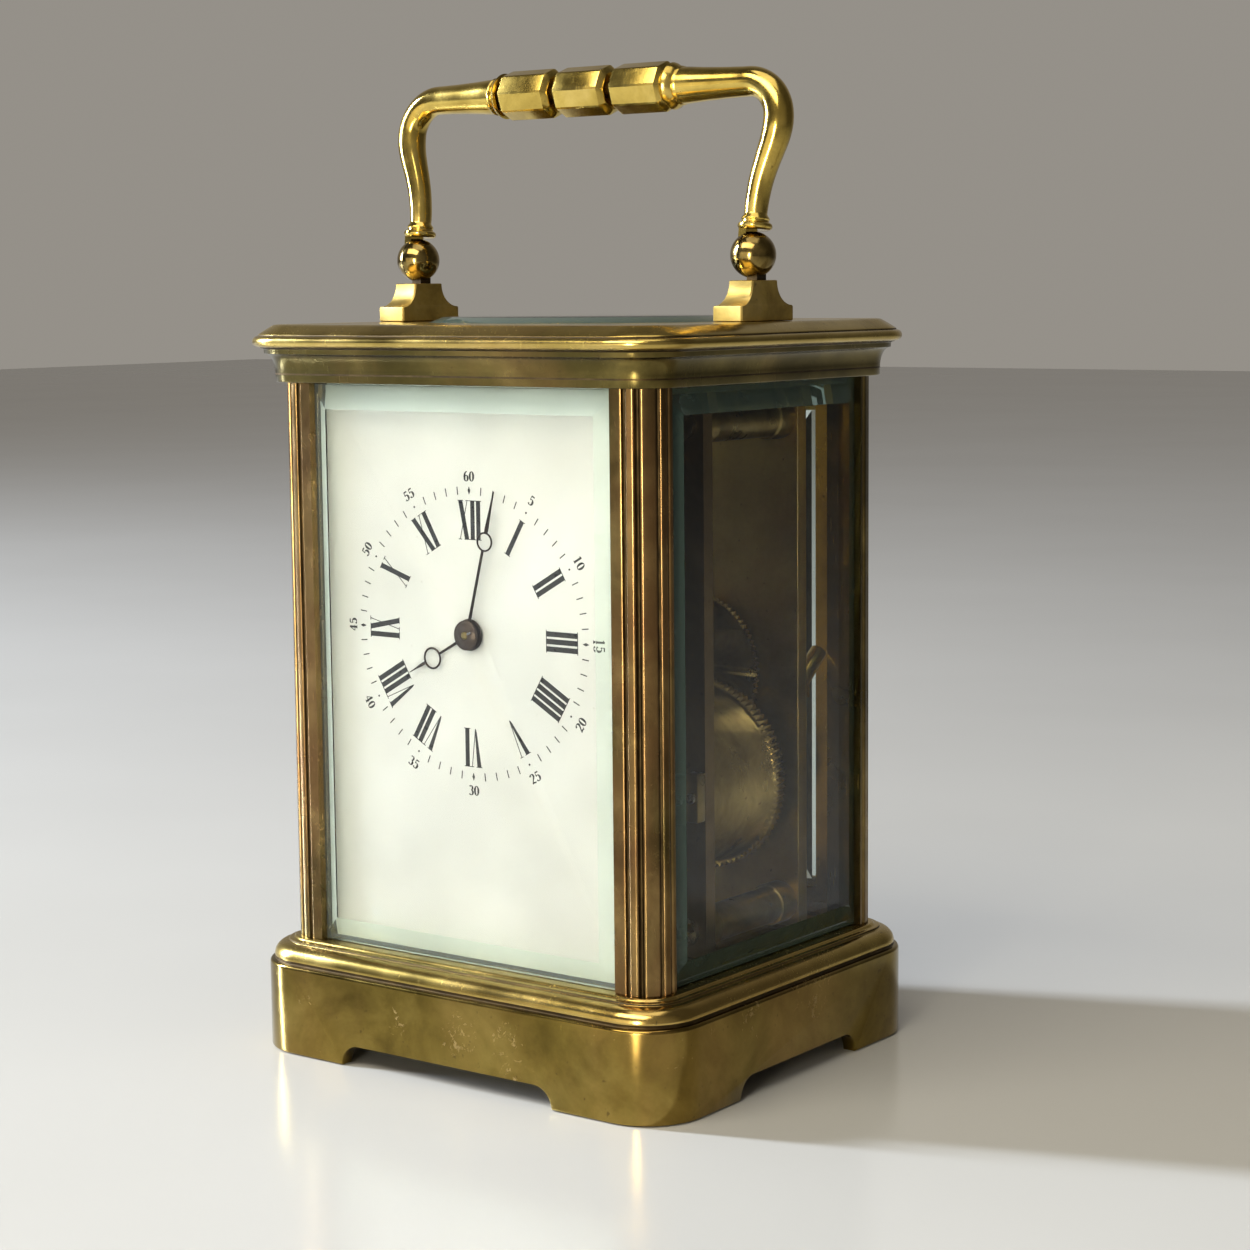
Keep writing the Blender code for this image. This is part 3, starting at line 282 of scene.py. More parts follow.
def finish_piece(name, shape, material, body, replaces, angle, extra=()):
    """Makes a piece of a bmesh, shades it smooth up to an angle, and ties it to its body."""
    made = solid(name, shape)
    made.data.shade_smooth()
    made.data.set_sharp_from_angle(angle=math.radians(angle))
    for each in (material, *extra):
        made.data.materials.append(each)
    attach(made, body)
    if replaces:
        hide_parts(*replaces)


def full_turn(count):
    """Evenly spaced angles of one turn."""
    return [2 * math.pi * i / count for i in range(count)]


def loft(shape, rings, caps=True):
    """Skins a run of equal rings, given in millimetres."""
    rows = [[shape.verts.new(Vector(p) * MM) for p in ring] for ring in rings]
    count = len(rings[0])
    made = []
    for lower, upper in zip(rows, rows[1:]):
        for i in range(count):
            j = (i + 1) % count
            made.append(shape.faces.new((lower[i], lower[j], upper[j], upper[i])))
    if caps:
        made.append(shape.faces.new(rows[0][::-1]))
        made.append(shape.faces.new(rows[-1]))
    return made


def turn_about(axis, centre, profile, sides=48):
    """Rings of a turned shape: (radius, distance along the axis) pairs about an axis."""
    rings = []
    for radius, height in profile:
        ring = []
        for a in full_turn(sides):
            u, v = max(radius, 0.004) * math.cos(a), max(radius, 0.004) * math.sin(a)
            offset = {"X": (height, u, v), "Y": (u, height, v), "Z": (u, v, height)}[axis]
            ring.append(Vector(centre) + Vector(offset))
        rings.append(ring)
    return rings


def arc(centre, radius, start, end, steps):
    """Points along an arc, its ends given in degrees."""
    angles = [math.radians(start + (end - start) * i / steps) for i in range(steps + 1)]
    return [(centre[0] + radius * math.cos(a), centre[1] + radius * math.sin(a)) for a in angles]


def rounded_ring(half_x, half_y, radius, height):
    """A rounded rectangle at a height, with points along its straight sides too."""
    steps, straight = 14, 6
    points = []
    for corner in range(4):
        sx = 1 if corner in (0, 3) else -1
        sy = 1 if corner in (0, 1) else -1
        middle = (sx * (half_x - radius), sy * (half_y - radius))
        points += arc(middle, radius, 90 * corner, 90 * corner + 90, steps)
    full = []
    for here, there in zip(points, points[1:] + points[:1]):
        full.append(here)
        span = math.dist(here, there)
        if span > 8.0:
            for k in range(1, straight):
                full.append(tuple(a + (b - a) * k / straight for a, b in zip(here, there)))
    return [(x, y, height) for x, y in full]


# Puts an outline's u and v, and a distance w along an axis, into x, y and z.
ALONG = {
    "X": lambda u, v, w: (w, u, v),
    "Y": lambda u, v, w: (u, w, v),
    "Z": lambda u, v, w: (u, v, w),
}


def prism(shape, outline, low, high, axis="Y"):
    """A closed outline extruded along an axis."""
    return loft(shape, [[ALONG[axis](u, v, w) for u, v in outline] for w in (low, high)])


def carved(build, cutters):
    """A bmesh of one shape with others cut from it; the helper objects are removed."""
    helpers = []
    for each in (build, *cutters):
        shape = bmesh.new()
        each(shape)
        helpers.append(solid("helper", shape))
    base, *others = helpers
    for other in others:
        step = base.modifiers.new("step", "BOOLEAN")
        step.operation, step.solver, step.object = "DIFFERENCE", "EXACT", other
    graph = bpy.context.evaluated_depsgraph_get()
    result = bmesh.new()
    mesh = bpy.data.meshes.new_from_object(base.evaluated_get(graph))
    result.from_mesh(mesh)
    bpy.data.meshes.remove(mesh)
    for helper in helpers:
        bpy.data.objects.remove(helper)
    return result


def soften(shape, width, angle=38.0):
    """Rounds every arris sharper than an angle, flats merged first so that the bevel runs clean."""
    bmesh.ops.remove_doubles(shape, verts=shape.verts, dist=WELD)
    bmesh.ops.dissolve_limit(
        shape, angle_limit=math.radians(0.5), verts=shape.verts, edges=shape.edges, delimit={"NORMAL"}
    )
    limit = math.radians(angle)
    sharp = [e for e in shape.edges if len(e.link_faces) == 2 and e.calc_face_angle(0.0) > limit]
    bmesh.ops.bevel(
        shape, geom=sharp, offset=width * MM, offset_type="OFFSET", segments=2, profile=0.5,
        affect="EDGES", clamp_overlap=True,
    )
    return shape


# ------------------------------------------------------------------ base, cornice and pillars
OVAL_SIDES = 96


def sweep_profile(shape, profile):
    """A profile of (inset, height) pairs carried round the base's rounded rectangle."""
    rings = []
    for inset, height in profile:
        rings.append(rounded_ring(HALF_X - inset, HALF_Y - inset, CORNER - inset, height))
    loft(shape, rings)


def tarnish(shape, grooves, moulding):
    """Patina and painted shade for faces between pairs of heights; a brighter brass, a painted highlight, for
    others above a height.
    """
    for face in shape.faces:
        height = face.calc_center_median().z / MM
        if any(low < height < high for low, high in grooves):
            face.material_index = 1
        elif height > moulding:
            face.material_index = 2


def swept(start, radii, angles):
    """Points of a round in a profile, from its point at 0 degrees, with its own radius each way."""
    turns = [math.radians(a) for a in angles]
    return [(start[0] + radii[0] * (1 - math.cos(a)), start[1] + radii[1] * math.sin(a)) for a in turns]


def make_base():
    """Plinth on four bracket feet, with a lip, a groove, a half-round and a flat top."""
    profile = [(0.35, 0.0), (0.1, 0.1), (0.0, 0.35), (0.0, 13.75)]
    profile += swept((0.0, 13.75), (0.45, 0.6), range(15, 91, 15))
    profile += [(0.8, 14.38), (0.86, 14.5), (0.82, 14.8)]
    profile += swept((0.75, 14.95), (2.3, 2.2), range(0, 86, 7))
    profile += [(3.05, 17.18), (3.14, 17.22), (3.16, 17.45), (3.24, 17.55), (3.75, 17.55), (3.95, 17.6)]
    profile += [(4.1, 17.8), (4.3, 17.98), (4.6, FLOOR_TOP)]

    def gap(axis, half, reach):
        outline = [(-half, -1.0), (half, -1.0), *arc((half - 3.4, 0), 3.4, 0, 90, 14)]
        outline += arc((3.4 - half, 0), 3.4, 90, 180, 14)
        return lambda shape: prism(shape, outline, -reach, reach, axis)

    def hollow(shape):
        levels = ((2.4, -1.0), (2.4, 13.4), (3.0, 14.0))
        loft(shape, [rounded_ring(HALF_X - i, HALF_Y - i, CORNER - i, z) for i, z in levels])

    def hole(x, y, radius):
        return lambda shape: loft(shape, turn_about("Z", (x, y, 0), ((radius, 12.0), (radius, 19.0)), 24))

    holes = [hole(sx * 32.5, sy * 28.05, 1.1) for sx in (-1, 1) for sy in (-1, 1)]
    holes.insert(0, hole(HINGE_X, HINGE_Y, PIN_HOLE))
    cutters = (hollow, gap("Y", 21.0, HALF_Y + 1), gap("X", 16.3, HALF_X + 1), *holes)
    shape = soften(carved(lambda s: sweep_profile(s, profile), cutters), 0.22)
    # Painted shade in the two narrow grooves; painted highlight, a brighter brass, on the half-round and the
    # top above it.
    tarnish(shape, ((14.4, 14.93), (17.24, 17.5)), 14.9)
    finish_piece("base", shape, CASE, "case", ("base_plinth",), 40, (SHADE_BRASS, MOULDING))


def make_cornice():
    """Cornice: fascia, hollow, fillet, half-round bead and a chamfered top round an oval window."""
    profile = [(3.6, 107.0), (3.35, 107.06), (3.25, 107.25), (3.25, 108.2), (3.2, 108.45)]
    profile += swept((3.2, 108.45), (-1.6, 3.0), range(8, 91, 8))
    profile += [(1.5, 111.5), (1.46, 112.2), (1.3, 112.34), (0.95, 112.38), (0.9, 112.5)]
    profile += swept((-0.28, 113.4), (0.88, 0.85), range(-80, 81, 10))
    profile += [(0.62, 114.28), (0.66, 114.45), (0.85, 114.62), (1.7, 115.15), (2.6, 115.68), (3.1, 115.95)]
    profile += [(3.5, 116.0)]

    def inside(shape):
        loft(shape, [rounded_ring(29.1, 28.05, 3.0, z) for z in (106.0, 113.0)])

    def oval(half_x, half_y, low, high):
        ring = [(half_x * math.cos(a), half_y * math.sin(a)) for a in full_turn(OVAL_SIDES)]
        return lambda shape: prism(shape, ring, low, high, "Z")

    def pin_hole(shape):
        loft(shape, turn_about("Z", (HINGE_X, HINGE_Y, 0), ((PIN_HOLE, 106.0), (PIN_HOLE, 110.0)), 24))

    cutters = (inside, oval(24.6, 17.0, 110.0, 118.0), oval(27.0, 19.2, 114.0, 118.0), pin_hole)
    shape = soften(carved(lambda s: sweep_profile(s, profile), cutters), 0.15)
    # Painted shade in the three narrow grooves; painted highlight, a brighter brass, on the bead and the top
    # above it.
    tarnish(shape, ((108.24, 108.5), (112.22, 112.52), (114.27, 114.46)), 112.5)
    finish_piece("cornice", shape, CORNICE, "case", ("top_frame",), 40, (SHADE_BRASS, MOULDING))


def pillar_section():
    """The pillar's outline walked in fine steps, with coved grooves between its reeds.

    Each point comes with a flag that says whether it lies down in a groove.
    """
    straight, bend = PILLAR_X - PILLAR_CORNER, PILLAR_CORNER * math.pi / 2
    end = straight + bend + PILLAR_Y - PILLAR_CORNER
    grooves = ((2.42, 0.36, 0.55), (4.66, 0.44, 0.62), (7.96, 0.34, 0.5), (9.95, 0.28, 0.4))
    steps = 150
    points = []
    for i in range(steps + 1):
        s = end * i / steps
        if s < straight:
            place, inward = Vector((PILLAR_X - s, 0.0)), Vector((0.0, 1.0))
        elif s < straight + bend:
            a = (s - straight) / PILLAR_CORNER
            inward = Vector((math.sin(a), math.cos(a)))
            place = Vector((PILLAR_CORNER, PILLAR_CORNER)) - inward * PILLAR_CORNER
        else:
            place, inward = Vector((0.0, PILLAR_CORNER + s - straight - bend)), Vector((1.0, 0.0))
        depth = 0.0
        for middle, half, deep in grooves:
            away = abs(s - middle) / half
            if away < 1.0:
                depth = deep * math.sqrt(1 - away * away)
            elif away < 1.9:
                depth = max(depth, 0.12 * ((1.9 - away) / 0.9) ** 2)
        points.append((tuple(place + inward * depth), depth > 0.3))
    return points


def make_pillars():
    """Corner pillars with reeds outside and rebates for the panes inside."""
    section = pillar_section()
    outer = [point for point, _ in section]
    for name, (side_x, side_y) in CORNERS.items():
        outline = [*outer, (1.25, PILLAR_Y), (1.25, PILLAR_Y - 1.0), (2.5, PILLAR_Y - 1.0), (2.5, PILLAR_Y)]
        outline += [(PILLAR_X, PILLAR_Y)]
        if side_y < 0:
            outline += [(PILLAR_X, 2.5), (PILLAR_X - 1.0, 2.5), (PILLAR_X - 1.0, 1.25), (PILLAR_X, 1.25)]
        placed = [(side_x * (FACE_X - u), side_y * (FACE_Y - v)) for u, v in outline]
        shape = bmesh.new()
        sides = prism(shape, placed, FLOOR_TOP + 0.05, CORNICE_LOW - 0.05, "Z")
        # Faces down in the reeds' grooves take the darker groove brass: painted shade, with patina.
        for face, (_, sunk) in zip(sides, section):
            face.material_index = int(sunk)
        node = "pillar_" + name
        finish_piece("reeded_" + node, shape, PILLAR, "case", (node,), 34, (SHADE_BRASS,))


# ------------------------------------------------------------------ glass
def pane(name, axis, across, upright, inner, outer, node, body, edge_glass, margin=1.0, bevel=3.0):
    """A bevelled pane between pairs of limits; all but its two flats take the greener edge glass, whose tint
    paints in what the bevel shows.
    """
    grow = 1.0 if outer > inner else -1.0
    thin = inner + grow * 0.75
    edge = 0.12
    rings = ((edge, inner), (0.0, inner + grow * edge), (0.0, thin - grow * edge), (edge, thin),
             (margin, thin), (margin + bevel, outer))
    shape = bmesh.new()
    rows = []
    for inset, depth in rings:
        left, right = across[0] + inset, across[1] - inset
        bottom, top = upright[0] + inset, upright[1] - inset
        outline = ((left, bottom), (right, bottom), (right, top), (left, top))
        rows.append([ALONG[axis](u, v, depth) for u, v in outline])
    made = loft(shape, rows)
    for face in made[:-2]:
        face.material_index = 1
    finish_piece(name, shape, GLASS, body, (node,), 5.0, (edge_glass,))


def make_glass():
    """The upright panes in their rebates, and the oval one in the cornice."""
    inset, thick, lap = 0.25, 1.8, 0.9
    upright = (FLOOR_TOP + 0.1, CORNICE_LOW - 0.1)
    half, front = FACE_X - PILLAR_X + lap, inset - FACE_Y
    pane("front_pane", "Y", (-half, half), upright, front + thick, front, "front_glass", "case", BEVEL)
    half = FACE_Y - PILLAR_Y + lap
    for side, word in ((-1, "left"), (1, "right")):
        outer = side * (FACE_X - inset)
        inner = outer - side * thick
        pane(word + "_pane", "X", (-half, half), upright, inner, outer, word + "_glass", "case", SIDE_BEVEL)
    right = FACE_X - PILLAR_X - 0.3
    across, upright = (HINGE_X + 3.5, right - 3.5), (FLOOR_TOP + 4.7, CORNICE_LOW - 4.7)
    pane("door_pane", "Y", across, upright, 28.25, 30.05, "rear_door_glass", "rear_door", BEVEL, 1.1, 2.0)
    shape = bmesh.new()
    rings = []
    for half_x, half_y, height in ((26.8, 19.0, 114.05), (26.9, 19.1, 114.15), (26.9, 19.1, 115.85),
                                   (26.7, 18.9, 115.98), (24.4, 16.6, 116.85), (24.2, 16.4, 116.9)):
        rings.append([(half_x * math.cos(a), half_y * math.sin(a), height) for a in full_turn(OVAL_SIDES)])
    made = loft(shape, rings)
    for face in made[: OVAL_SIDES * 4]:
        face.material_index = 1
    finish_piece("oval_pane", shape, GLASS, "case", ("top_glass",), 15.0, (TOP_BEVEL,))


# ------------------------------------------------------------------ handle
def smooth_path(points, steps):
    """Catmull-Rom through points of any dimension."""
    full = [points[0], *points, points[-1]]

    def between(p, q, r, s, t):
        return 0.5 * (
            2 * q + (r - p) * t + (2 * p - 5 * q + 4 * r - s) * t * t + (3 * q - p - 3 * r + s) * t**3
        )

    made = []
    for run in zip(full, full[1:], full[2:], full[3:]):
        for k in range(steps):
            made.append(tuple(between(*each, k / steps) for each in zip(*run)))
    return [*made, points[-1]]


def tube(shape, path):
    """A round tube along (x, z, radius) points in the handle's own plane."""
    rings = []
    for i, (x, z, radius) in enumerate(path):
        before, after = path[max(i - 1, 0)], path[min(i + 1, len(path) - 1)]
        along = Vector((after[0] - before[0], 0.0, after[1] - before[1])).normalized()
        aside = Vector((0.0, 1.0, 0.0))
        up = along.cross(aside)
        middle = Vector((x, 0.0, z))
        rings.append([middle + (aside * math.cos(a) + up * math.sin(a)) * radius for a in full_turn(36)])
    loft(shape, rings)


def leaned(shape):
    """Leans a shape made upright back on the handle's pivots."""
    pivot = Vector((0.0, 0.0, HANDLE_Z * MM))
    shape.transform(Matrix.Translation(pivot) @ LEAN @ Matrix.Translation(-pivot))
    return shape


def ball_slice(shape, x, start, end):
    """The part of a knuckle's ball between two distances from its middle."""
    steps = 14
    first, last = math.acos(-start / BALL), math.acos(-end / BALL)
    profile = []
    for i in range(steps + 1):
        # Even steps of angle keep the pole round.
        a = first + (last - first) * i / steps
        profile.append((BALL * math.sin(a), x - BALL * math.cos(a)))
    return loft(shape, turn_about("X", (0, 0, HANDLE_Z), profile))


def make_handle():
    """Curved arms on collared knuckles, with three octagonal grips on the bar between them."""
    arms = [(33.3, 5.2, 1.72), (33.32, 7.2, 1.8), (33.55, 9.3, 1.86), (33.95, 11.4, 1.92), (34.55, 13.5, 2.0)]
    arms += [(35.3, 15.7, 2.12), (35.95, 17.7, 2.24), (36.28, 19.6, 2.32)]
    arms += [(x, z, 2.3) for x, z in arc((30.6, BAR_RISE - 5.7), 5.7, 8, 82, 5)]
    arms += [(29.2, 26.2, 2.32), (26.0, 26.2, 2.42), (22.5, 26.2, 2.6), (20.0, 26.2, 2.78)]
    arms += [(18.6, 26.2, 2.86)]
    bar = (0, 0, HANDLE_Z + BAR_RISE)
    shape = bmesh.new()
    for side in (-1, 1):
        path = [(side * x, HANDLE_Z + z, r) for x, z, r in smooth_path(arms, 5)]
        tube(shape, path)
        x = side * HANDLE_X
        collar = [(1.5, 129.75), (2.3, 129.78), (2.55, 129.95), (2.66, 130.25), (2.6, 130.6), (2.35, 130.82)]
        collar += [(2.12, 130.9), (2.08, 131.15), (2.2, 131.35), (2.1, 131.6), (1.85, 131.9), (1.7, 132.4)]
        loft(shape, turn_about("Z", (x, 0, 0), collar))
        for face in ball_slice(shape, x, -BALL * 0.985, -0.55):
            face.material_index = 1
        web = [(x - 1.9, 126.0), (x - 0.55, 126.0), (x - 0.55, 130.2), (x - 1.9, 130.2)]
        prism(shape, web, -1.55, 1.55)
        flare = [(2.7, 18.9), (2.95, 18.55), (3.02, 18.3), (2.9, 18.05), (2.7, 17.95), (2.9, 17.75)]
        flare += [(3.3, 17.3), (3.55, 16.9), (3.62, 16.7), (3.3, 16.55)]
        loft(shape, turn_about("X", bar, [(r, side * h) for r, h in flare]))
    # The bar under and between the grips takes the darker groove brass: painted shade.
    for face in loft(shape, turn_about("X", bar, ((1.5, -17.4), (1.5, 17.4)), 32)):
        face.material_index = 2
    finish_piece("handle_bow", leaned(shape), HANDLE, "handle", ("handle_bail",), 38,
                 (BALL_BRASS, SHADE_BRASS))
    sections = ((-5.1, 2.2), (-5.05, 3.0), (-4.85, 3.3), (-4.25, 3.86), (-4.0, 3.9), (4.0, 3.9),
                (4.25, 3.86), (4.85, 3.3), (5.05, 3.0), (5.1, 2.2))
    for name, middle in (("left", -11.1), ("middle", 0.0), ("right", 11.1)):
        shape = bmesh.new()
        rings = []
        for along, radius in sections:
            ring = []
            for corner in full_turn(8):
                for nudge in (-0.045, 0.045):
                    a = corner + math.radians(4.0) + nudge
                    ring.append((middle + along, radius * math.cos(a), bar[2] + radius * math.sin(a)))
            rings.append(ring)
        loft(shape, rings)
        node = "handle_grip_" + name
        finish_piece("grip_" + name, leaned(shape), HANDLE, "handle", (node,), 20)
    for name, x in (("left", -HANDLE_X), ("right", HANDLE_X)):
        make_post(name, x)


def make_post(name, x):
    """Concave-sided pedestal with the neck and the right-hand part of the knuckle ball."""
    levels = [(2.5, 6.9, 116.05), (2.65, 7.05, 116.2), (2.65, 7.05, 118.2), (2.55, 6.95, 118.4)]
    for i in range(1, 13):
        a = math.pi / 2 * i / 12
        levels.append((2.6 - 0.4 * math.sin(a), 6.95 - 3.55 * math.sin(a), 118.4 + 3.7 * (1 - math.cos(a))))
    levels.append((2.05, 3.25, 122.2))
    chamfer = 0.22
    shape = bmesh.new()
    rings = []
    for half_x, half_y, height in levels:
        corners = []
        for sx, sy in ((1, 1), (-1, 1), (-1, -1), (1, -1)):
            first = (x + sx * half_x, sy * (half_y - chamfer), height)
            second = (x + sx * (half_x - chamfer), sy * half_y, height)
            corners += [first, second] if sx * sy > 0 else [second, first]
        rings.append(corners)
    loft(shape, rings)
    # The neck under the ball takes the darker groove brass: painted shadow.
    neck = [(x - 0.35, 121.8), (x + 1.5, 121.8), (x + 1.5, 124.5), (x - 0.35, 124.5)]
    for face in prism(shape, neck, -1.25, 1.25):
        face.material_index = 2
    for face in ball_slice(shape, x, -0.35, BALL * 0.985):
        face.material_index = 1
    finish_piece("post_" + name, shape, POST, "case", ("handle_post_" + name,), 36,
                 (BALL_BRASS, SHADE_BRASS))
    shape = bmesh.new()
    head = ((0.0, x - 3.55), (0.6, x - 3.52), (0.9, x - 3.35), (0.9, x - 2.4), (0.68, x - 2.4),
            (0.68, x + 1.9))
    loft(shape, turn_about("X", (0, 0, HANDLE_Z), head, 24))
    finish_piece("pivot_" + name, shape, HANDLE, "case", ("handle_pivot_" + name,), 36)


# ------------------------------------------------------------------ dial and hands
def radial(points, degrees, rise=0.0):
    """Points laid out with outwards as up, moved out and turned clockwise from noon about the centre."""
    c, s = math.cos(math.radians(degrees)), math.sin(math.radians(degrees))
    return [(x * c + (z + rise) * s, CENTRE_Z - x * s + (z + rise) * c) for x, z in points]


def ribbon(shape, path, degrees, rise, low, high):
    """A stroke of changing width along (x, z, width) points, as a thin solid."""
    left, right = [], []
    for i, (x, z, width) in enumerate(path):
        before, after = path[max(i - 1, 0)], path[min(i + 1, len(path) - 1)]
        along = Vector((after[0] - before[0], after[1] - before[1])).normalized()
        aside = Vector((-along.y, along.x)) * width / 2
        left.append((x + aside.x, z + aside.y))
        right.append((x - aside.x, z - aside.y))
    rows = []
    for (lx, lz), (rx, rz) in zip(radial(left, degrees, rise), radial(right, degrees, rise)):
        rows.append([(lx, low, lz), (rx, low, rz), (rx, high, rz), (lx, high, lz)])
    loft(shape, rows)


def loop(cx, cz, half_x, half_z, start, end, thick, thin, steps=22):
    """An oval stroke, thick where it runs upright and thin where it runs level."""
    points = []
    for i in range(steps + 1):
        a = math.radians(start + (end - start) * i / steps)
        width = thin + (thick - thin) * abs(math.cos(a)) ** 1.5
        points.append((cx + half_x * math.cos(a), cz + half_z * math.sin(a), width))
    return points


# Strokes of each figure in a cell 0.9 wide and 1.5 tall, middle at 0, 0.
FIGURES = {
    "0": [loop(0, 0, 0.30, 0.66, 0, 360, 0.27, 0.07)],
    "1": [[(0.03, -0.72, 0.25), (0.03, 0.70, 0.25)], [(-0.2, -0.70, 0.07), (0.26, -0.70, 0.07)],
          [(-0.24, 0.44, 0.06), (0.0, 0.68, 0.1)]],
    "2": [loop(0, 0.34, 0.29, 0.33, 170, -40, 0.26, 0.07, 12) + [(-0.3, -0.62, 0.07)],
          [(-0.33, -0.62, 0.16), (0.0, -0.55, 0.2), (0.28, -0.66, 0.14), (0.36, -0.46, 0.06)]],
    "3": [loop(-0.02, 0.36, 0.25, 0.31, 150, -90, 0.24, 0.07, 12),
          loop(-0.02, -0.32, 0.31, 0.36, 90, -150, 0.27, 0.07, 12)],
    "4": [[(0.13, -0.70, 0.24), (0.13, 0.70, 0.24)], [(0.1, 0.66, 0.07), (-0.38, -0.28, 0.09)],
          [(-0.38, -0.28, 0.08), (0.38, -0.28, 0.08)], [(-0.1, -0.70, 0.07), (0.34, -0.70, 0.07)]],
    "5": [[(-0.22, 0.66, 0.07), (-0.24, 0.06, 0.08)], [(-0.22, 0.62, 0.17), (0.28, 0.62, 0.14)],
          loop(-0.04, -0.24, 0.32, 0.42, 130, -150, 0.28, 0.07, 14)],
    "6": [loop(0.02, -0.26, 0.28, 0.42, 0, 360, 0.25, 0.07, 20),
          loop(0.22, -0.05, 0.50, 0.74, 185, 95, 0.24, 0.08, 10)],
}
HAIR, STEM = 0.12, 0.80  # widths of the Roman numerals' strokes
ROMAN = ("XII", "I", "II", "III", "IIII", "V", "VI", "VII", "VIII", "IX", "X", "XI")
ADVANCE = {"I": 1.13, "V": 2.25, "X": 2.35}
FIGURE_PITCH, FIGURE_CIRCLE, MINUTE_CIRCLE, HOUR_CIRCLE = 1.08, 24.15, 22.0, 17.5


def roman(shape, text, degrees, low, high):
    """A Roman numeral with hairline serifs, its feet towards the centre."""
    pen = -sum(ADVANCE[letter] for letter in text) / 2
    tall = 2.95
    strokes = []
    for letter in text:
        step = ADVANCE[letter]
        x = pen + step / 2
        if letter == "I":
            strokes.append([(x, -tall, STEM), (x, tall, STEM)])
            spans = [(x - step / 2 - 0.03, x + step / 2 + 0.03)]
        elif letter == "V":
            strokes.append([(x + 0.06, -tall, HAIR), (x, -tall + 0.5, 0.34), (x - 0.62, tall, STEM)])
            strokes.append([(x + 0.08, -tall, HAIR), (x + 0.78, tall, HAIR)])
            spans = [(x - 1.2, x - 0.05), (x + 0.45, x + 1.08)]
        else:
            strokes.append([(x - 0.62, tall, STEM), (x + 0.62, -tall, STEM)])
            strokes.append([(x + 0.72, tall, HAIR), (x - 0.72, -tall, HAIR)])
            spans = [(x - 1.15, x - 0.1), (x + 0.4, x + 1.05)]
        for start, end in spans:
            strokes.append([(start, tall, HAIR), (end, tall, HAIR)])
            if letter == "I":
                strokes.append([(start, -tall, HAIR), (end, -tall, HAIR)])
        if letter == "X":
            strokes.append([(x - 1.05, -tall, HAIR), (x - 0.4, -tall, HAIR)])
            strokes.append([(x + 0.1, -tall, HAIR), (x + 1.15, -tall, HAIR)])
        pen += step
    for stroke in strokes:
        ribbon(shape, stroke, degrees, HOUR_CIRCLE, low, high)


def make_dial():
    """The white dial with its hours, minute strokes and minute figures."""
    plate = [(-29.0, 18.4), (29.0, 18.4), (29.0, 106.6), (-29.0, 106.6)]
    hole = turn_about("Y", (0, 0, CENTRE_Z), ((1.9, DIAL_Y - 1), (1.9, DIAL_Y + 2)))
    shape = carved(lambda s: prism(s, plate, DIAL_Y, DIAL_Y + 1.0), [lambda s: loft(s, hole)])
    finish_piece("enamel_dial", soften(shape, 0.16, 50), ENAMEL, "case", ("dial_plate",), 40)
    shape = bmesh.new()
    low, high = DIAL_Y - 0.028, DIAL_Y + 0.01
    for hour, text in enumerate(ROMAN):
        roman(shape, text, 30.0 * hour, low, high)
        minutes = 60 if hour == 0 else 5 * hour
        inward = 20 <= minutes <= 40
        turn, rise = (30.0 * hour + 180.0, -FIGURE_CIRCLE) if inward else (30.0 * hour, FIGURE_CIRCLE)
        figures = str(minutes)
        for i, figure in enumerate(figures):
            shift = (i - (len(figures) - 1) / 2) * FIGURE_PITCH
            for stroke in FIGURES[figure]:
                moved = [(1.15 * x + shift, 1.08 * z, 1.25 * w + 0.02) for x, z, w in stroke]
                ribbon(shape, moved, turn, rise, low, high)
    for minute in range(60):
        if minute % 15 == 0:
            mark = [(0, -0.62, 0.02), (0, 0.0, 0.5), (0, 0.62, 0.02)]
        elif minute % 5 == 0:
            mark = [(0, -0.17, 0.1), (0, -0.08, 0.3), (0, 0.08, 0.3), (0, 0.17, 0.1)]
        else:
            mark = [(0, -0.62, 0.17), (0, 0.62, 0.17)]
        ribbon(shape, mark, 6.0 * minute, MINUTE_CIRCLE, low, high)
    finish_piece("numerals", shape, INK, "case", (), 30)


def hand_shape(length, ring, reach, wall, degrees, low, high, boss, bore, stem, blade):
    """A moon hand: slim stem, open ring and a blade that tapers to a point."""
    shape = bmesh.new()
    shank = [(0, boss - 0.2, stem * 1.5), (0, 4.0, stem * 1.1), (0, ring - reach + 0.1, stem)]
    tip = [(0, ring + reach - 0.12, blade), (0, ring + reach + 0.7, blade * 1.1),
           (0, (ring + reach + length) / 2, blade * 0.6), (0, length, 0.06)]
    for stroke in (shank, tip):
        ribbon(shape, stroke, degrees, 0, low, high)
    crown = (low + high) / 2
    rings = []
    for radius, depth in ((reach - wall, high), (reach - wall, crown), (reach - wall / 2, low),
                          (reach, crown), (reach, high)):
        spots = [(radius * math.sin(a), ring + radius * math.cos(a)) for a in full_turn(40)]
        rings.append([(x, depth, z) for x, z in radial(spots, degrees)])
    loft(shape, rings + rings[:1], caps=False)
    disc = ((bore, high), (bore, low), (boss - 0.15, low), (boss, low + 0.1), (boss, high), (bore, high))
    loft(shape, turn_about("Y", (0, 0, CENTRE_Z), disc), caps=False)
    return shape


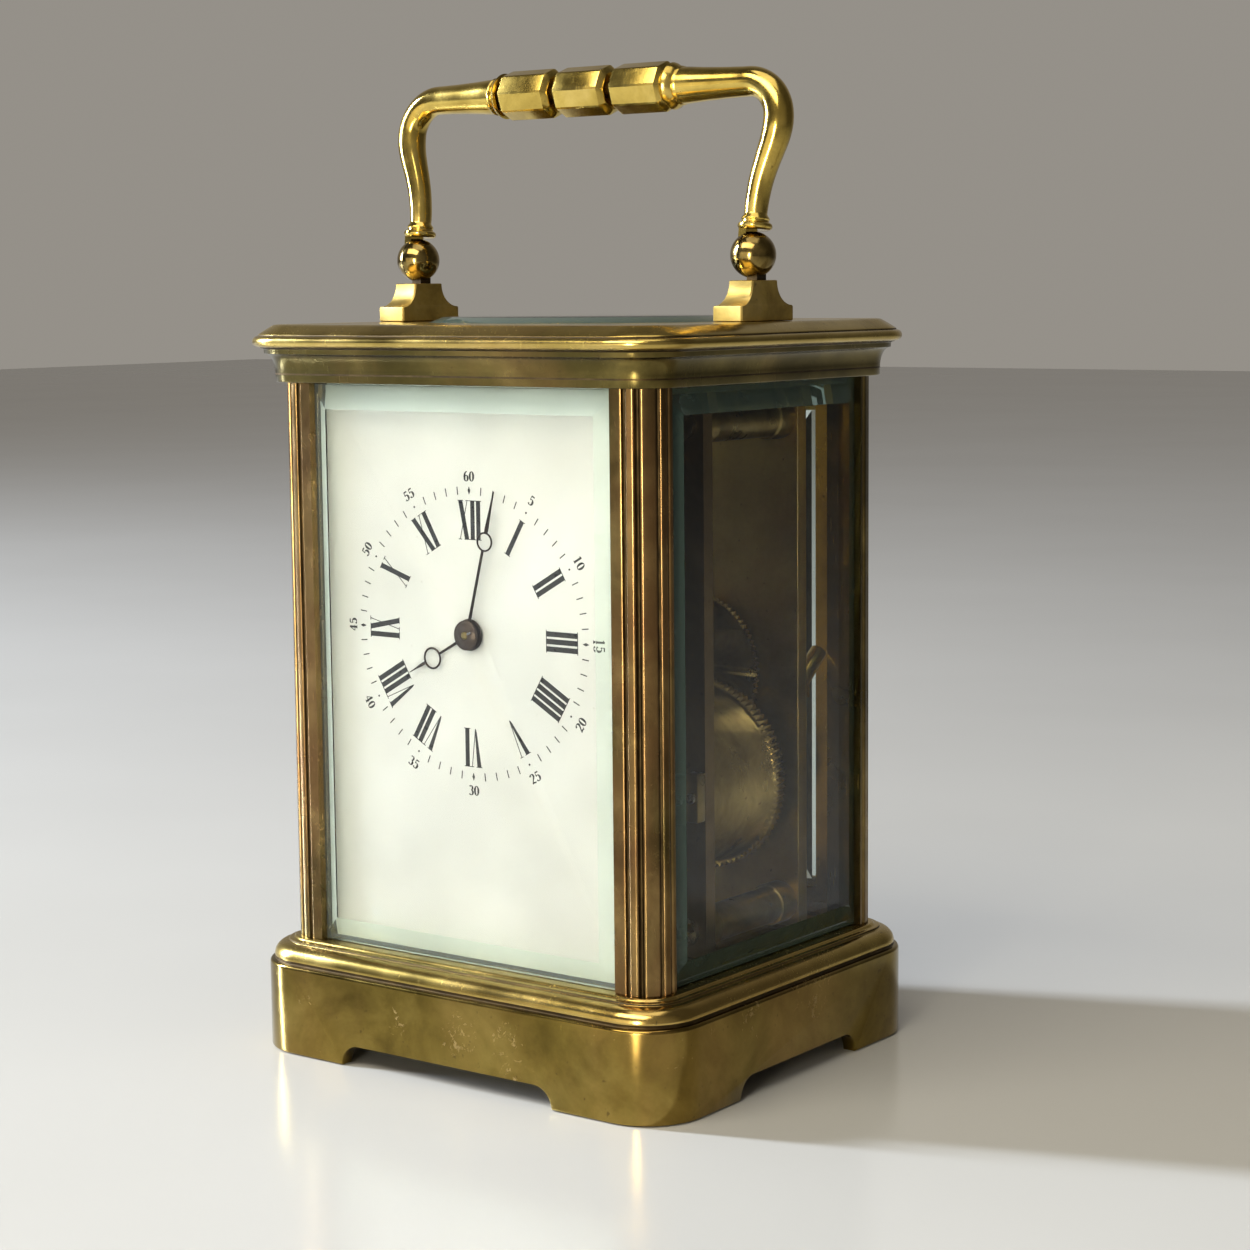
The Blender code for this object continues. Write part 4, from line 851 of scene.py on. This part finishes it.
def make_hands():
    """Two moon hands, the collet that holds them and the pin through its arbor."""
    hour = hand_shape(13.9, 8.6, 1.72, 0.3, 241.2, -27.82, -27.57, 2.45, 1.65, 0.34, 0.42)
    finish_piece("hour_moon_hand", hour, BLACK_STEEL, "hour", ("hour_hand",), 30)
    minute = hand_shape(22.8, 14.9, 1.5, 0.27, 14.4, -28.42, -28.17, 1.75, 1.12, 0.34, 0.52)
    finish_piece("minute_moon_hand", minute, BLACK_STEEL, "minute_arbor", ("minute_hand",), 30)
    shape = bmesh.new()
    profile = ((0.66, -28.46), (2.15, -28.46), (2.28, -28.52), (2.3, -28.6), (2.2, -28.68), (1.9, -28.7),
               (1.82, -28.76), (1.25, -28.86), (1.1, -28.95), (0.66, -28.96), (0.66, -28.46))
    loft(shape, turn_about("Y", (0, 0, CENTRE_Z), profile, 56), caps=False)
    finish_piece("collet", shape, COLLET, "minute_arbor", ("hand_collet",), 30)
    shape = bmesh.new()
    tilt = math.radians(24)
    along, across = (math.cos(tilt), math.sin(tilt)), (-math.sin(tilt), math.cos(tilt))
    rings = []
    for reach, radius in ((-1.15, 0.13), (1.35, 0.2), (1.42, 0.12)):
        ring = []
        for a in full_turn(12):
            ring.append((along[0] * reach + across[0] * radius * math.cos(a), -28.82 + radius * math.sin(a),
                         CENTRE_Z + along[1] * reach + across[1] * radius * math.cos(a)))
        rings.append(ring)
    loft(shape, rings)
    finish_piece("collet_pin", shape, STEEL, "minute_arbor", (), 40)


# ------------------------------------------------------------------ door and movement
def refined(name, node, material, body, bevel=0.0, cut_angle=38.0):
    """A copy of a CAD node's solid, shaded smooth, or with its arrises eased and its flats kept flat."""
    shape = bmesh.new()
    shape.from_mesh(frame["nodes"][node].data)
    bmesh.ops.remove_doubles(shape, verts=shape.verts, dist=2e-6)
    if bevel:
        soften(shape, bevel, cut_angle)
    finish_piece(name, shape, material, body, (node,), 20.0 if bevel else 34.0)


def make_door():
    """The rear door's frame, and its turned knob."""
    refined("door_frame", "rear_door_frame", MOULDING, "rear_door", 0.18)
    shape = bmesh.new()
    profile = [(0.0, 31.05), (1.4, 31.05), (1.5, 31.15), (1.45, 31.35), (1.0, 31.6), (0.95, 32.0)]
    profile += [(1.3, 32.4), (1.95, 32.7), (2.25, 33.1), (2.25, 33.45), (1.9, 33.95), (1.2, 34.3)]
    profile += [(0.0, 34.45)]
    loft(shape, turn_about("Y", (26.7, 0, 63.0), profile, 40))
    finish_piece("knob", shape, HANDLE, "rear_door", ("door_knob",), 40)


def screw(shape, axis, across, base, top, radius, turn):
    """A slotted screw head: a disc with two half discs on it, either side of the slot."""
    rim = (top - base) * 0.6 + base
    ring = [(across[0] + radius * math.cos(a), across[1] + radius * math.sin(a)) for a in full_turn(32)]
    prism(shape, ring, base, rim, axis)
    half_slot = math.asin(0.14)
    for side in (0.0, math.pi):
        rings = []
        for depth, shrink in ((rim, 1.0), (top - (top - rim) * 0.25, 1.0), (top, 0.88)):
            outline = []
            for k in range(17):
                a = turn + side + half_slot + (math.pi - 2 * half_slot) * k / 16
                u, v = radius * shrink * math.cos(a), radius * shrink * math.sin(a)
                outline.append(ALONG[axis](across[0] + u, across[1] + v, depth))
            rings.append(outline)
        loft(shape, rings)


def make_fittings():
    """Screws of the movement, the stop block on the front plate and the tube behind the back plate."""
    shape = bmesh.new()
    for i, place in enumerate(PLATE_PILLARS):
        screw(shape, "Y", place, PLATE_REAR, PLATE_REAR + 1.1, 2.4, 0.5 + 1.1 * i)
        screw(shape, "Y", place, PLATE_FRONT, PLATE_FRONT - 1.0, 2.2, 0.9 + 0.8 * i)
    for i, (x, y) in enumerate([(x, y) for x in (-12.8, 12.8) for y in (-6.2, 17.8)]):
        screw(shape, "Z", (x, y), 106.4, 106.95, 1.15, 0.3 + 0.9 * i)
    screw(shape, "Z", (6.5, 17.3), 112.4, 112.95, 1.3, 0.8)
    screw(shape, "Y", (27.9, 43.9), PLATE_FRONT - 2.1, PLATE_FRONT - 2.7, 0.85, 1.2)
    finish_piece("movement_screws", shape, STEEL, "case", (), 40)
    shape = bmesh.new()
    prism(shape, [(26.8, 40.1), (29.0, 40.1), (29.0, 47.7), (26.8, 47.7)], PLATE_FRONT - 2.1, PLATE_FRONT)
    finish_piece("stop_block", soften(shape, 0.18), WHEEL, "case", (), 40)
    shape = bmesh.new()
    ahead = Vector((0.05, 0.74, 0.67)).normalized()
    aside = ahead.cross(Vector((1.0, 0.0, 0.0))).normalized()
    across = aside.cross(ahead)
    foot = Vector((27.2, 20.6, 57.6))
    rings = []
    for radius, reach in ((1.0, 0.2), (1.4, 0.2), (1.4, 7.0), (1.33, 7.2), (1.1, 7.2), (1.02, 7.05)):
        middle = foot + ahead * reach
        rings.append([middle + (aside * math.cos(a) + across * math.sin(a)) * radius for a in full_turn(32)])
    loft(shape, rings + rings[:1], caps=False)
    prism(shape, [(25.2, 55.6), (28.8, 55.6), (28.8, 58.6), (25.2, 58.6)], PLATE_REAR, PLATE_REAR + 1.2)
    finish_piece("oil_tube", shape, HANDLE, "case", (), 36)


def make_movement():
    """The plates with eased arrises, their turned pillars, the train and the small steel pieces."""
    for node in ("front_plate", "dial_backplate"):
        refined("fine_" + node, node, MOVEMENT, "case", 0.12, cut_angle=60)
    for node in ("back_plate", "platform_plate", "balance_cock", "escape_bridge"):
        refined("fine_" + node, node, GILT, "case", 0.12, cut_angle=60)
    profile = [(0.0, -5.95), (3.2, -5.95), (3.3, -5.7), (3.3, -3.4), (3.05, -3.2), (2.95, -2.9), (2.95, 13.2)]
    profile += [(3.05, 13.4), (3.32, 13.55), (3.38, 13.8), (3.38, 17.2), (3.3, 17.45), (0.0, 17.45)]
    for i, (x, z) in enumerate(PLATE_PILLARS, 1):
        shape = bmesh.new()
        loft(shape, turn_about("Y", (x, 0, z), profile, 40))
        node = f"movement_pillar_{i}"
        finish_piece(f"turned_pillar_{i}", shape, WHEEL, "case", (node,), 36)
    bodies = frame["record"]["behaviour"]["bodies"]
    rides = {node: name for name, nodes in bodies.items() for node in nodes}
    wheels = ("barrel", "barrel_cover", "second_wheel", "centre_wheel", "third_wheel", "contrate_wheel",
              "minute_wheel", "hour_wheel", "escape_wheel", "balance_wheel")
    steels = ("cannon_pinion", "pallet_lever", "regulator", "barrel_arbor", "ratchet_wheel", "click",
              "click_spring", "door_pin_bottom", "door_pin_top", *("case_screw_" + c for c in CORNERS))
    for node in wheels:
        refined("fine_" + node, node, WHEEL, rides[node])
    for node in steels:
        refined("fine_" + node, node, STEEL, rides[node])
    for node, slot in (("mainspring", "steel"), ("hairspring", "hand_steel")):
        refined("fine_" + node, node, SPRING, rides[node])


make_base()
make_cornice()
make_pillars()
make_glass()
make_handle()
make_dial()
make_hands()
make_door()
make_movement()
make_fittings()


# ------------------------------------------------------------------ stage, light and camera
def plain_floor():
    """A pale, slightly glossy floor just under the feet."""
    n = Nodes("pale_floor")
    tone = n.ramp(n.noise(6.0, 3.0, 0.5), (0.3, (0.42, 0.415, 0.40)), (0.7, (0.45, 0.445, 0.43)))
    n.set(Base_Color=tone, Roughness=0.18)
    shape = bmesh.new()
    bmesh.ops.create_grid(shape, x_segments=1, y_segments=1, size=3.0)
    mesh = bpy.data.meshes.new("floor")
    shape.to_mesh(mesh)
    shape.free()
    mesh.materials.append(n.material)
    floor = bpy.data.objects.new("floor", mesh)
    floor.location.z = -0.0001
    bpy.context.scene.collection.objects.link(floor)


def towards(azimuth, elevation):
    """The direction at an azimuth from the front and an elevation, in radians."""
    level = math.cos(elevation)
    return Vector((math.sin(azimuth) * level, -math.cos(azimuth) * level, math.sin(elevation)))


def softbox(name, azimuth, elevation, distance, size, power, color):
    """A panel of light facing the clock, unseen by the camera itself."""
    light = bpy.data.lights.new(name, "AREA")
    light.shape = "RECTANGLE"
    light.size, light.size_y = size
    light.energy = power
    light.color = color
    out = towards(math.radians(azimuth), math.radians(elevation))
    holder = bpy.data.objects.new(name, light)
    holder.location = Vector((0.0, 0.0, 0.06)) + out * distance
    holder.rotation_mode = "QUATERNION"
    holder.rotation_quaternion = (-out).to_track_quat("-Z", "Y")
    holder.visible_camera = False
    bpy.context.scene.collection.objects.link(holder)


def studio_world():
    """Soft grey surroundings: paler in front of and behind the clock than to its sides."""
    world = bpy.data.worlds.new("studio")
    world.use_nodes = True
    tree = world.node_tree
    background = tree.nodes["Background"]
    place = tree.nodes.new("ShaderNodeTexCoord")
    facing = tree.nodes.new("ShaderNodeVectorMath")
    facing.operation = "DOT_PRODUCT"
    facing.inputs[1].default_value = (0.597, -0.802, 0.0)
    size = tree.nodes.new("ShaderNodeMath")
    size.operation = "ABSOLUTE"
    ramp = tree.nodes.new("ShaderNodeValToRGB")
    ramp.color_ramp.elements[0].position, ramp.color_ramp.elements[1].position = 0.35, 0.9
    ramp.color_ramp.elements[0].color = (0.085, 0.078, 0.066, 1.0)
    ramp.color_ramp.elements[1].color = (0.30, 0.28, 0.25, 1.0)
    tree.links.new(place.outputs["Generated"], facing.inputs[0])
    tree.links.new(facing.outputs["Value"], size.inputs[0])
    tree.links.new(size.outputs[0], ramp.inputs["Fac"])
    tree.links.new(ramp.outputs["Color"], background.inputs["Color"])
    bpy.context.scene.world = world


def light_and_camera():
    """Soft panels of light, and a camera low at the front right corner."""
    studio_world()
    warm, cool = (1.0, 0.93, 0.76), (0.80, 0.88, 1.0)
    softbox("window", -70.0, 19.0, 1.3, (0.09, 0.66), 54.0, cool)
    softbox("front", -2.0, 49.0, 0.95, (0.95, 0.4), 9.5, warm)
    softbox("wall", -3.0, 6.0, 0.95, (1.1, 0.34), 1.5, warm)
    softbox("band", 16.0, 2.0, 0.9, (0.10, 0.3), 5.0, warm)
    softbox("top", 30.0, 80.0, 0.8, (0.6, 0.5), 1.5, (1.0, 0.95, 0.88))
    bpy.context.scene.view_settings.view_transform = "Standard"
    view = bpy.data.cameras.new("camera")
    view.sensor_width = 36.0
    view.lens = 78.44
    view.clip_start, view.clip_end = 0.01, 20.0
    azimuth, elevation, roll = (math.radians(a) for a in (36.68, 7.16, -0.56))
    back = towards(azimuth, elevation)
    right = Vector((math.cos(azimuth), math.sin(azimuth), 0.0))
    up = back.cross(right)
    across = right * math.cos(roll) + up * math.sin(roll)
    upward = up * math.cos(roll) - right * math.sin(roll)
    place = Vector((0.0, 0.0, 0.06744)) + right * 0.00684 + back * 0.43761
    camera = bpy.data.objects.new("camera", view)
    camera.matrix_world = Matrix.Translation(place) @ Matrix((across, upward, back)).transposed().to_4x4()
    bpy.context.scene.collection.objects.link(camera)
    bpy.context.scene.camera = camera


plain_floor()
light_and_camera()
